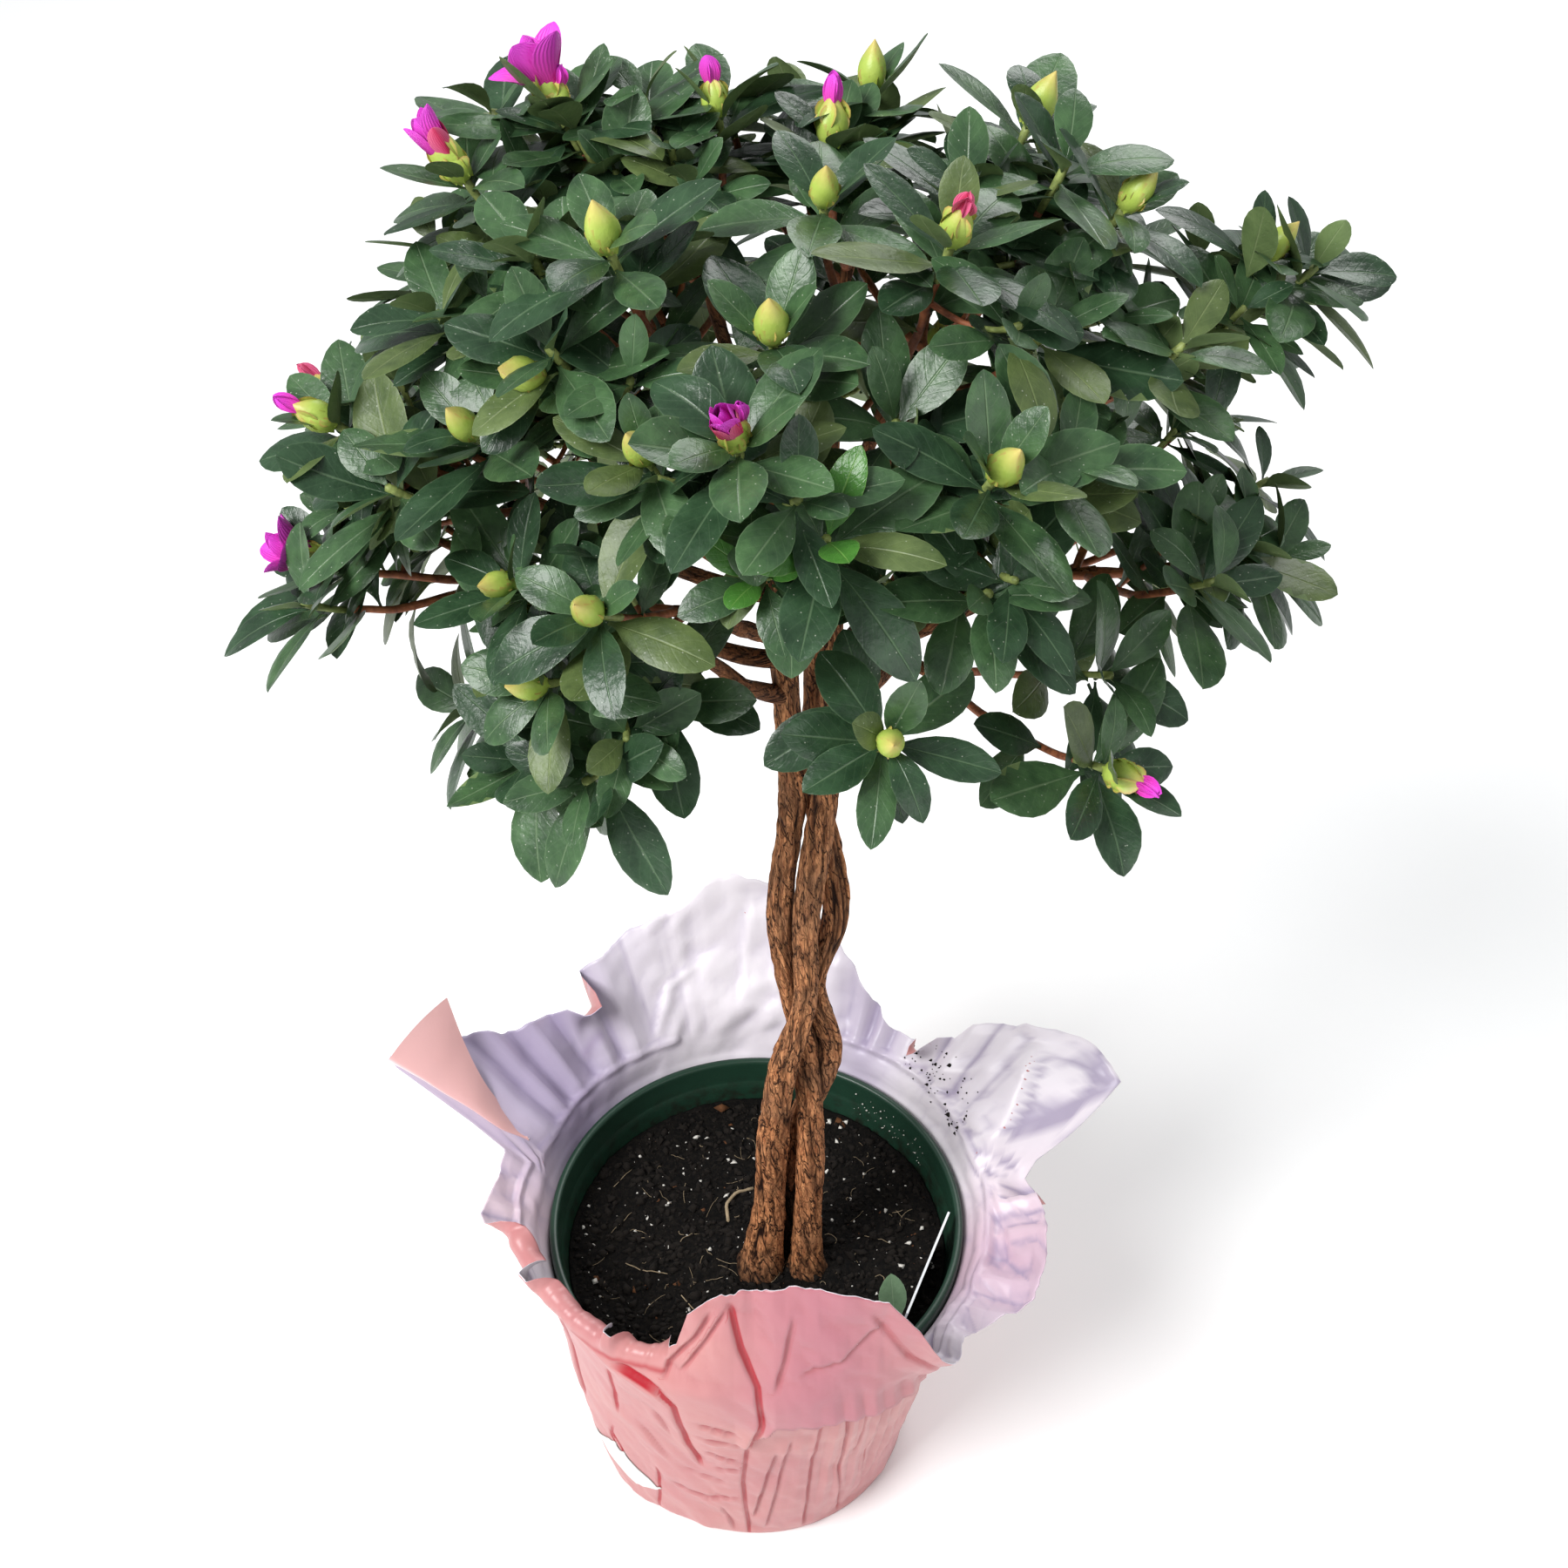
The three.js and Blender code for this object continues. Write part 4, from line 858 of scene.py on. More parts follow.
PLAIT_FOOT, PLAIT_HEAD, PLAIT_RISE = np.array([13.0, -5]), np.array([18.0, 0]), 280.0
STEM_FOOT_HEIGHT = 112.3
STEMS = {  # height above the soil, across, depth, radius
    "stem_left": [
        (0, -11, -3, 8.2), (40, -8.5, -3.5, 6.2), (78, -7.6, -4.5, 5.8), (122, -4.6, -6.5, 5.2),
        (157, 2.6, -6, 4.2),
        (195, 1.8, -5.5, 4.5), (248, 6.4, -4, 4.2), (282, 7.5, -5, 3.9), (325, 7.5, -4, 3.4),
        (376, 13, -10, 2.4),
    ],
    "stem_front": [
        (0, 7, -4, 6.6), (40, 6.5, -4.5, 5.3), (78, 6.8, -3.5, 5.2), (122, 3.6, 1.5, 4.7),
        (157, -2.6, 0.5, 3.9),
        (195, -7, -1.5, 4.4), (248, -3.6, -0.5, 4.4), (282, -6, 0, 4.3), (325, -8.5, 1, 3.8),
        (372, -15, 4, 2.6),
    ],
    "stem_back": [
        (0, -1.5, 8, 5.8), (40, -1, 7, 4.9), (78, 3, 6.5, 4.8), (122, 12.4, 3.5, 4.7), (157, 6, 3, 3.9),
        (195, 12.4, 3, 4.5), (248, 3.4, 8.4, 4.5), (282, 3.4, 9.5, 4.1), (325, 4, 13, 3.8), (368, 7, 22, 2.5),
    ],
}
STEM_SIDES, STEM_STEP = 56, 0.9
FISSURE = {"spacing": 2.6, "length": 40.0, "depth": 1.0}  # of the bark's furrows, in millimetres


def stem_line(rows, height):
    """Points and radii of a stem at heights above the soil."""
    across, depth, radius = along_stations(rows, height)
    share = np.minimum(np.asarray(height) / PLAIT_RISE, 1)
    middle = PLAIT_FOOT + share[:, None] * (PLAIT_HEAD - PLAIT_FOOT)
    return np.stack([middle[:, 0] + across, middle[:, 1] + depth, STEM_FOOT_HEIGHT + height], -1), radius


def bark_relief(line, radii, sides, seed, fineness=1.0):
    """Furrows that run along a limb and open and close, cracked across into plates."""
    run = np.concatenate([[0], np.cumsum(np.linalg.norm(np.diff(line, axis=0), axis=1))])
    turn = 2 * np.pi * np.arange(sides) / sides + 0 * run[:, None]
    girth = radii[:, None]
    twist = run[:, None] / 70
    x, y = girth * np.cos(turn + twist), girth * np.sin(turn + twist)
    stretch = FISSURE["spacing"] / FISSURE["length"]
    at = np.stack([x, y, run[:, None] * stretch + 0 * x], -1)
    warp = np.stack([lumps(at, 3 * fineness, seed + 5), lumps(at, 3 * fineness, seed + 6), 0 * x], -1) * 0.5
    wide = lumps(at + warp, FISSURE["spacing"] * fineness, seed)
    narrow = lumps(at + warp, FISSURE["spacing"] * 0.45 * fineness, seed + 1)
    patchy = np.clip(0.75 + 0.6 * lumps(at * 0.7, 3.1, seed + 7), 0.1, 1.2)
    furrow = patchy * np.exp(-((wide / 0.12) ** 2)) + 0.45 * np.exp(-((narrow / 0.1) ** 2))
    plates = lumps(np.stack([x, y, run[:, None] * 0.5 + 0 * x], -1), 2.2 * fineness, seed + 2)
    swell = lumps(np.stack([x * 0.4, y * 0.4, run[:, None] * 0.35 + 0 * x], -1), 6, seed + 3)
    furrow = np.clip(furrow, 0, 1.2)
    scale = np.minimum(girth / 5, 1) * fineness
    return scale * (0.28 - FISSURE["depth"] * furrow + 0.3 * plates) + 0.09 * girth * swell, furrow


def unrolled(line, radii, sides):
    """The uv at the faces' corners of a tube's surface laid out flat, in millimetres round and along."""
    run = np.concatenate([[0], np.cumsum(np.linalg.norm(np.diff(line, axis=0), axis=1))])
    run = np.concatenate([run[:1], run, run[-1:]])
    girth = 2 * np.pi * np.mean(radii)
    r, c = np.meshgrid(np.arange(len(run) - 1), np.arange(sides), indexing="ij")
    around = np.stack([c, c + 1, c + 1, c], -1) * girth / sides
    along = run[np.stack([r, r, r + 1, r + 1], -1)]
    return np.stack([around + 0.18 * along, along], -1).reshape(-1, 2)


def bark_cracks(material, surface, wide, long):
    """Wavering cracks along the stem that open and close: 1 in the middle of one, 0 off it."""
    stretched = add_node(material, "Mapping", {"Scale": (1 / wide, 1 / long, 1)}, {"Vector": surface})
    noise = add_node(
        material, "TexNoise", {"Scale": 1.0, "Detail": 3, "Roughness": 0.55, "Distortion": 0.5},
        {"Vector": stretched},
    )
    off = add_node(material, "Math", {"operation": "SUBTRACT", 1: 0.5}, {0: noise})
    near = add_node(material, "Math", {"operation": "ABSOLUTE"}, {0: off})
    return add_node(material, "MapRange", {"From Min": 0.034, "From Max": 0.004}, {"Value": near}).outputs[0]


def ridged_bark(name, ridge, flank, furrow_colour_and_shade, grain):
    """Fibrous bark: pale worn ridges, dark furrows that are partly the bark's own colour and partly painted
    shade, fine fibres along the stem.
    """
    material, shader = begin_material(name, IOR=1.4, Roughness=0.85, Specular_IOR_Level=0.25)
    surface = add_node(material, "UVMap", {"uv_map": "surface"}).outputs["UV"]
    long_cracks, short_cracks = bark_cracks(material, surface, 3.4, 17), bark_cracks(
        material, surface, 1.7, 6
    )
    faint = add_node(material, "Math", {"operation": "MULTIPLY", 1: 0.55}, {0: short_cracks})
    cracks = add_node(material, "Math", {"operation": "MAXIMUM"}, {0: long_cracks, 1: faint})
    place = add_node(material, "TexCoord").outputs["Object"]
    squeezed = add_node(material, "Mapping", {"Scale": (1, 1, 0.12)}, {"Vector": place})
    fibre = add_node(
        material, "TexNoise", {"Scale": 1 / grain, "Detail": 6, "Roughness": 0.65}, {"Vector": squeezed}
    )
    patch = add_node(material, "TexNoise", {"Scale": 1 / 0.018, "Detail": 3}, {"Vector": place})
    spread = add_node(material, "MapRange", {"From Min": 0.36, "From Max": 0.64}, {"Value": fibre})
    tone = add_node(material, "Mix", {6: flank, 7: ridge}, {0: spread})
    worn = add_node(
        material, "MapRange", {"From Min": 0.4, "From Max": 0.75, "To Max": 0.55}, {"Value": patch}
    )
    greyed = add_node(material, "Mix", {7: "#6f5a48"}, {0: worn, 6: tone})
    # Furrows and cracks are darkened: partly the bark's own colour, partly painted shade.
    deep = add_node(material, "Attribute", {"attribute_name": "furrow"})
    dark = add_node(material, "Math", {"operation": "MAXIMUM"}, {0: deep.outputs["Fac"], 1: cracks})
    colour = add_node(material, "Mix", {7: furrow_colour_and_shade}, {0: dark, 6: greyed})
    height = add_node(material, "SeparateXYZ", {}, {"Vector": place})
    soiled = add_node(
        material, "MapRange", {"From Min": 0.124, "From Max": 0.112, "To Max": 0.9},
        {"Value": height.outputs["Z"]},
    )
    footed = add_node(material, "Mix", {7: "#15110d"}, {0: soiled, 6: colour})
    relief = add_node(material, "Math", {"operation": "MULTIPLY_ADD", 1: -1.2}, {0: cracks, 2: fibre})
    finish_surface(material, shader, footed, relief, 0.9, 0.0007)
    return material


stem_bark = ridged_bark("ridged_bark_orange_brown", "#e09c69", "#965a38", "#2a160d", 0.0009)
dead_bark = ridged_bark("ridged_bark_dead", "#4c3626", "#32231a", "#120c08", 0.0009)
for number, (name, rows) in enumerate(STEMS.items()):
    heights = np.arange(-5, rows[-1][0] + 0.1, STEM_STEP)
    line, radii = stem_line(rows, np.maximum(heights, 0))
    line[:, 2] = STEM_FOOT_HEIGHT + heights
    radii = radii + 2.2 * np.exp(-np.maximum(heights, 0) / 5)
    relief, furrow = bark_relief(line, radii, STEM_SIDES, 70 + 10 * number)
    points, faces = tube(line, radii, STEM_SIDES, relief)
    furrow = np.vstack([furrow[:1], furrow, furrow[-1:]]).ravel()
    for other_name, other_rows in STEMS.items():  # painted shade in the seams where the stems press on each other
        if other_name != name:
            other, girth = stem_line(
                other_rows, np.clip(points[:, 2] - STEM_FOOT_HEIGHT, 0, other_rows[-1][0])
            )
            gap = np.maximum(np.hypot(*(points - other)[:, :2].T) - girth, 0)
            furrow = np.maximum(furrow, 0.9 * np.exp(-((gap / 1.3) ** 2)))
    bark_of = np.zeros(len(faces))
    if name == "stem_back":
        middle = points[faces].mean(1)[:, 2]
        bark_of = middle < STEM_FOOT_HEIGHT + 44 + 4 * np.sin(points[faces].mean(1)[:, 0] * 1.7)
    laid_out = unrolled(line, radii, STEM_SIDES)
    stem = make_piece(
        name + "_bark", points, faces, [stem_bark, dead_bark], bark_of, values={"furrow": furrow}, uv=laid_out
    )
    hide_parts(name)

# ---- Boughs ----
# Young wood that leaves the stems above the plait and bears one spray of foliage each, with thinner,
# redder bark than the stems.

HEART = np.array([17.0, -2, 436])
DOME = {"centre": np.array([17.0, 0, 470]), "across": 130.0, "depth": 112.0, "above": 119.0, "below": 50.0}
STEM_NAMES = list(STEMS)
SPRAYS = [  # name, azimuth, elevation, fullness of the dome there, stem, height of the bough's root
    ("front_low", 281, 18, 0.94, 0, 408), ("front_left_low", 220, 2, 0.86, 1, 401),
    ("right_low", 325, -6, 1.02, 0, 399), ("right_outer", 1, 8, 1.06, 0, 420),
    ("back_right_low", 40, 10, 1.0, 2, 402), ("back_low", 88, 10, 1.0, 2, 414),
    ("back_left_low", 142, 8, 1.0, 2, 426), ("left_low", 192, 15, 1.05, 1, 414),
    ("front_left", 238, 31, 0.9, 1, 426), ("front_right", 296, 46, 1.03, 0, 436),
    ("right_upper", 1, 43, 1.11, 0, 448), ("back_right_upper", 46, 46, 1.02, 2, 440),
    ("back_left_upper", 128, 44, 1.0, 2, 452), ("left", 190, 31, 1.04, 1, 438),
    ("left_upper", 172, 55, 1.04, 1, 458), ("front_upper", 260, 50, 1.08, 1, 448),
    ("top_left", 226, 64, 1.04, 1, 470), ("top_front_right", 303, 67, 1.04, 0, 462),
    ("top_right", 352, 66, 1.04, 0, 476), ("top_back", 66, 74, 1.0, 2, 466),
    ("top_back_left", 142, 70, 1.06, 2, 476),
]
SPRAY = {"bough_end": 0.48, "hub": 0.66, "fork": 0.14, "site": 0.84, "apart": 20.0, "lift": 0.55}
BOUGH = {"root_radius": 3.0, "tip_radius": 1.7, "bow": 0.16}
UP = np.array([0.0, 0, 1])


def direction(azimuth, elevation):
    a, e = math.radians(azimuth), math.radians(elevation)
    return np.array([math.cos(a) * math.cos(e), math.sin(a) * math.cos(e), math.sin(e)])


def unit(vector):
    return vector / np.linalg.norm(vector)


def dome_reach(towards):
    """How far the dome is from the crown's heart in a direction."""
    start, reach = HEART - DOME["centre"], 0.0
    for height in (DOME["above"], DOME["below"]):
        size = np.array([DOME["across"], DOME["depth"], height])
        d, o = towards / size, start / size
        b, square = d @ o, d @ d
        length = (-b + math.sqrt(b * b - square * (o @ o - 1))) / square
        if (start[2] + length * towards[2] > 0) == (height == DOME["above"]):
            reach = length
    return reach


def bezier(start, control, end, count):
    t = np.linspace(0, 1, count)[:, None]
    return start * (1 - t) ** 2 + control * 2 * t * (1 - t) + end * t**2


plans = []
for index, (name, azimuth, elevation, fullness, stem, root_height) in enumerate(SPRAYS):
    towards = direction(azimuth, elevation)
    reach = fullness * dome_reach(towards)
    plans.append({
        "name": name, "index": index, "fullness": fullness, "towards": towards, "reach": reach,
        "start": HEART + towards * SPRAY["bough_end"] * reach, "hub": HEART + towards * SPRAY["hub"] * reach,
        "site": HEART + towards * SPRAY["site"] * reach,
        "root": stem_line(STEMS[STEM_NAMES[stem]], np.array([root_height - 112.0]))[0][0],
    })

bough_bark = ridged_bark("ridged_bark_young_red_brown", "#96603c", "#6f4229", "#2c1a10", 0.0009)
for plan in plans:
    span = np.linalg.norm(plan["start"] - plan["root"])
    control = (plan["root"] + plan["start"]) / 2 - UP * BOUGH["bow"] * span
    line = bezier(plan["root"], control, plan["start"], 60)
    line = np.concatenate(
        [line, bezier(plan["start"], (plan["start"] + plan["hub"]) / 2, plan["hub"], 16)[1:]]
    )
    kink = np.stack([lumps(line + 50 * i + 7 * plan["index"], 14, 81 + i) for i in range(3)], -1)
    line = line + kink * 1.1 * np.sin(np.linspace(0, np.pi, len(line)))[:, None]
    radii = np.linspace(BOUGH["root_radius"], BOUGH["tip_radius"], len(line))
    relief, furrow = bark_relief(line, radii, 18, 90 + plan["index"], fineness=0.6)
    points, faces = tube(line, radii, 18, relief)
    furrow = np.vstack([furrow[:1], furrow, furrow[-1:]]) * 0.7
    bough = make_piece(
        "bough_" + plan["name"] + "_bark", points, faces, [bough_bark], values={"furrow": furrow},
        uv=unrolled(line, radii, 18),
    )
    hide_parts("bough_" + plan["name"])

# ---- Shoots ----
# Fine twigs: each spray's leading shoot, shoots that end evenly all over the dome, and side shoots a
# little short of them. Last year's wood is red-brown, this year's growth green.

SHOOTS = {
    "count": 98, "underside": -0.45, "sway": 7.0, "shortest": 0.88, "space_margin": 3.0, "highest": 577.0,
}
GOLDEN_ANGLE = math.pi * (3 - math.sqrt(5))
TWIG = {"hub_radius": 1.35, "tip_radius": 0.95, "side_radius": 0.8}
SIDE_SHOOT = {"share": 0.8, "aside": 20.0, "short": 12.0}
# Shoots that broke from the boughs out of turn, by the spray that they belong to.
EXTRA_SHOOTS = {
    "right_low": [(95, -92, 450), (97, -69, 463)], "top_back_left": [(-48, 26, 576), (-67, 39, 570)],
    "left_upper": [(-67, 8, 542)], "left_low": [(-118, -48, 471)],
    "front_left_low": [(-60, -70, 434), (-42, -83, 438), (-81, -37, 425)],
    "top_back": [(23, 11, 573), (-5, 52, 570)], "right_upper": [(151, 3, 543)],
    "right_outer": [(153, -11, 460)],
}
OPENINGS = [  # places where the crown stays open, and how wide
    ((6, -102, 468), 16), ((22, -89, 455), 15), ((28, -70, 465), 15), ((-14, -83, 460), 15),
    ((-3, -84, 496), 13),
    ((62, -96, 497), 12), ((70, -78, 488), 12), ((94, -79, 488), 12), ((98, -50, 471), 17),
    ((119, -54, 449), 15),
    ((117, -32, 449), 13), ((135, -39, 459), 10), ((121, 11, 559), 13), ((-98, -6, 521), 11),
    ((-95, 18, 514), 11),
    ((-99, -20, 452), 13), ((-94, -60, 470), 12), ((74, -50, 440), 14), ((45, -70, 440), 14),
    ((20, -60, 440), 16),
    ((74, -42, 429), 8), ((70, -89, 473), 9), ((73, -21, 434), 8), ((85, -69, 462), 9), ((140, -18, 449), 7),
    ((138, -27, 505), 8), ((109, -68, 466), 5),
]
GREEN_WOOD = 15.0  # millimetres of green growth below a shoot's tip


def repeatable(spray, shoot, item):
    """A repeatable number from 0 to 1, the same as in the part's source."""
    wave = math.sin(spray * 127.1 + shoot * 311.7 + item * 74.7 + 1.3) * 43758.5453
    return wave - math.floor(wave)


def in_own_space(point, plan, margin):
    for other in plans:
        if other is plan:
            continue
        apart = np.linalg.norm(other["site"] - plan["site"])
        lead = np.sum((point - other["site"]) ** 2) - np.sum((point - plan["site"]) ** 2)
        if lead / (2 * apart) <= margin:
            return False
    return True


def shoot_tips(plan):
    lead = HEART + plan["towards"] * plan["reach"]
    tips = [lead]
    for i in range(SHOOTS["count"]):
        rise = 1 - ((i + 0.5) / SHOOTS["count"]) * (1 - SHOOTS["underside"])
        out = math.sqrt(1 - rise * rise)
        short = SHOOTS["shortest"] + (1 - SHOOTS["shortest"]) * repeatable(plan["index"], i, 1)
        tip = np.array([
            DOME["across"] * out * math.cos(i * GOLDEN_ANGLE),
            DOME["depth"] * out * math.sin(i * GOLDEN_ANGLE),
            (DOME["above"] if rise > 0 else DOME["below"]) * rise,
        ])
        tip = tip * short * plan["fullness"] + DOME["centre"]
        aside = direction(360 * repeatable(plan["index"], i, 2), 0)
        tip = tip + aside * SHOOTS["sway"] * repeatable(plan["index"], i, 3)
        if np.linalg.norm(tip - lead) > SPRAY["apart"] and in_own_space(tip, plan, SHOOTS["space_margin"]):
            tips.append(tip)
    return tips


def in_opening(point):
    return any(np.linalg.norm(point - np.array(centre)) < width for centre, width in OPENINGS)


shoots = []  # of all sprays, each with its line from the bough to its tip
for plan in plans:
    extra = [(20 + i, np.array(tip, float)) for i, tip in enumerate(EXTRA_SHOOTS.get(plan["name"], []))]
    for k, tip in list(enumerate(shoot_tips(plan))) + extra:
        if k < 20 and in_opening(tip):
            continue
        tip[2] = min(tip[2], SHOOTS["highest"])
        chance = np.random.default_rng(1000 + 50 * plan["index"] + k)
        axis = unit(unit(tip - DOME["centre"]) + SPRAY["lift"] * UP)
        inner = plan["hub"] + (plan["start"] - plan["hub"]) * min(SPRAY["fork"] * (k % 20), 0.9)
        control = tip - axis * 0.5 * np.linalg.norm(tip - inner)
        line = bezier(inner, control, tip, 14)
        shoots.append({"plan": plan, "k": k, "tip": tip, "axis": axis, "line": line, "side": False})
        for turn in (0, 1):
            if chance.random() > SIDE_SHOOT["share"] * (1 - 0.4 * turn) or plan["name"] == "front_low":
                continue
            fork = line[5 + int(chance.integers(0, 4))]
            spin = 2 * np.pi * chance.random()
            across = unit(np.cross(axis, direction(360 * chance.random(), 20)))
            other = np.cross(axis, across)
            aside = SIDE_SHOOT["aside"] * (0.75 + 0.5 * chance.random())
            end = tip + (across * math.cos(spin) + other * math.sin(spin)) * aside
            end = end - axis * SIDE_SHOOT["short"] * (0.6 + 0.9 * chance.random())
            from_centre = end - DOME["centre"]
            size = [DOME["across"], DOME["depth"], DOME["above"] if from_centre[2] > 0 else DOME["below"]]
            reach = np.linalg.norm(from_centre / size)
            if reach > 1.02 * max(plan["fullness"], 1) or not in_own_space(end, plan, 0) or in_opening(end):
                continue
            lean = unit(unit(end - fork) + 0.5 * axis + 0.3 * UP)
            bend = end - lean * 0.5 * np.linalg.norm(end - fork)
            side_line = bezier(fork, bend, end, 12)
            shoots.append({"plan": plan, "k": k, "tip": end, "axis": lean, "line": side_line, "side": True})

brown_twigs, green_twigs = [], []
for shoot in shoots:
    line = shoot["line"]
    run = np.concatenate([[0], np.cumsum(np.linalg.norm(np.diff(line, axis=0), axis=1))])
    fine = np.linspace(0, run[-1], max(int(run[-1] / 3), 6))
    line = np.stack([np.interp(fine, run, line[:, i]) for i in range(3)], -1)
    wander = np.stack([lumps(line + 30 * i, 9, 111 + i) for i in range(3)], -1)
    line = line + wander * 0.7 * np.sin(np.linspace(0, np.pi, len(line)))[:, None]
    shoot["line"] = line
    top = TWIG["side_radius"] if shoot["side"] else TWIG["tip_radius"]
    radii = np.linspace(TWIG["side_radius"] if shoot["side"] else TWIG["hub_radius"], top, len(line))
    radii = radii * (1 + 0.12 * lumps(line, 3.5, 115))
    radii[-2:] *= 1.25
    cut = max(int(np.searchsorted(fine, run[-1] - GREEN_WOOD)), 1)
    brown_twigs.append(tube(line[: cut + 1], radii[: cut + 1], 7))
    green_twigs.append(tube(line[cut:], radii[cut:], 7))


def twig_rind(name, light, dark, roughness):
    """Smooth rind with raised scars of about 1.5 mm where leaves fell."""
    material, shader = begin_material(name, IOR=1.4, Roughness=roughness)
    place = add_node(material, "TexCoord").outputs["Object"]
    streak = add_node(
        material, "TexNoise", {"Scale": 1 / 0.003, "Detail": 5, "Roughness": 0.6}, {"Vector": place}
    )
    spread = add_node(material, "MapRange", {"From Min": 0.35, "From Max": 0.65}, {"Value": streak})
    tone = add_node(material, "Mix", {6: dark, 7: light}, {0: spread})
    scars = add_node(material, "TexVoronoi", {"Scale": 1 / 0.0015}, {"Vector": place})
    finish_surface(material, shader, tone, scars.outputs["Distance"], 0.5, 0.0003)
    return material


for name, parts, material in [
    ("twigs_last_year", brown_twigs, twig_rind("twig_rind_red_brown", "#a3623f", "#6b3a26", 0.6)),
    ("twigs_this_year", green_twigs, twig_rind("twig_rind_green", "#93a05a", "#66723d", 0.5)),
]:
    piece = make_piece(name, *join(parts), [material])

# ---- Leaves ----
# Leathery evergreen leaves with a blunt end and a small point, in rosettes round the shoots' tips,
# with a few older ones below. They grow on short stalks; each is a thin closed blade.

LEAF = {"length": 32.0, "width_share": 0.45, "thickness": 0.42}
ROSETTE = {"leaves": 9, "spacing": 1.05, "upright": 34.0, "spread": 82.0, "rise": 0.3}
LEAF_STATIONS = np.array([0, 0.05, 0.12, 0.24, 0.38, 0.52, 0.66, 0.79, 0.9, 0.965, 1.0])
LEAF_COLUMNS = np.array([-1, -0.52, 0, 0.52, 1])
MATURE, DARK, OLIVE, FRESH, UNDERSIDE = range(5)


def blade_outline(t):
    """Half width at shares of the length, as a share of the widest: a stalk, then an egg shape."""
    blade = np.clip((t - 0.07) / 0.93, 0, 1)
    shape = blade**0.92 * np.clip(1 - blade, 0, 1) ** 0.72
    return np.maximum(shape / 0.322, np.where(t < 0.99, 0.085, 0.02))


def blades(places):
    """Points, faces, face materials and uv of many blades. Each place: foot, along, up, length, width,
    droop, cup, twist, tone."""
    foot, along, up = (np.array([p[i] for p in places]) for i in range(3))
    length, width, droop, cup, twist = (np.array([p[i] for p in places])[:, None, None] for i in range(3, 8))
    along = along / np.linalg.norm(along, axis=1, keepdims=True)
    up = up - along * np.sum(up * along, 1, keepdims=True)
    up = up / np.linalg.norm(up, axis=1, keepdims=True)
    across = np.cross(up, along)
    t, v = LEAF_STATIONS[None, :, None], LEAF_COLUMNS[None, None, :]
    half = width / 2 * blade_outline(t)
    bend = np.where(np.abs(droop) < 1e-3, 1e-3, droop)
    x = length * np.sin(bend * t) / bend
    z = -length * (1 - np.cos(bend * t)) / bend
    tilt = twist * t
    lift = half * (0.5 * np.abs(v) - (0.44 - cup) * v * v)
    y = half * v * np.cos(tilt)
    z = z + lift + half * v * np.sin(tilt)
    x = x + 0 * v
    points = []
    for drop in (0.0, LEAF["thickness"]):
        low = z - drop * (1 - v**4) * (1 - 0.6 * t)
        points.append(
            foot[:, None, None] + x[..., None] * along[:, None, None] + y[..., None] * across[:, None, None]
            + low[..., None] * up[:, None, None]
        )
    points = np.stack(points, 1)
    rows, columns = len(LEAF_STATIONS), len(LEAF_COLUMNS)
    top = sheet_faces(rows, columns, closed=False, flip=True)
    bottom = sheet_faces(rows, columns, first=rows * columns, closed=False)
    one = np.concatenate([top, bottom])
    faces = one[None] + 2 * rows * columns * np.arange(len(places))[:, None, None]
    tones = np.array([p[8] for p in places])
    kinds = np.concatenate(
        [np.repeat(tones[:, None], len(top), 1), np.full((len(places), len(bottom)), UNDERSIDE)], 1
    )
    uv = np.stack([(v + 1) / 2 + 0 * t, t + 0 * v], -1)[0]
    uv = np.broadcast_to(uv, (len(places), 2, rows, columns, 2))
    return points.reshape(-1, 3), faces.reshape(-1, 4), kinds.ravel(), uv.reshape(-1, 2)


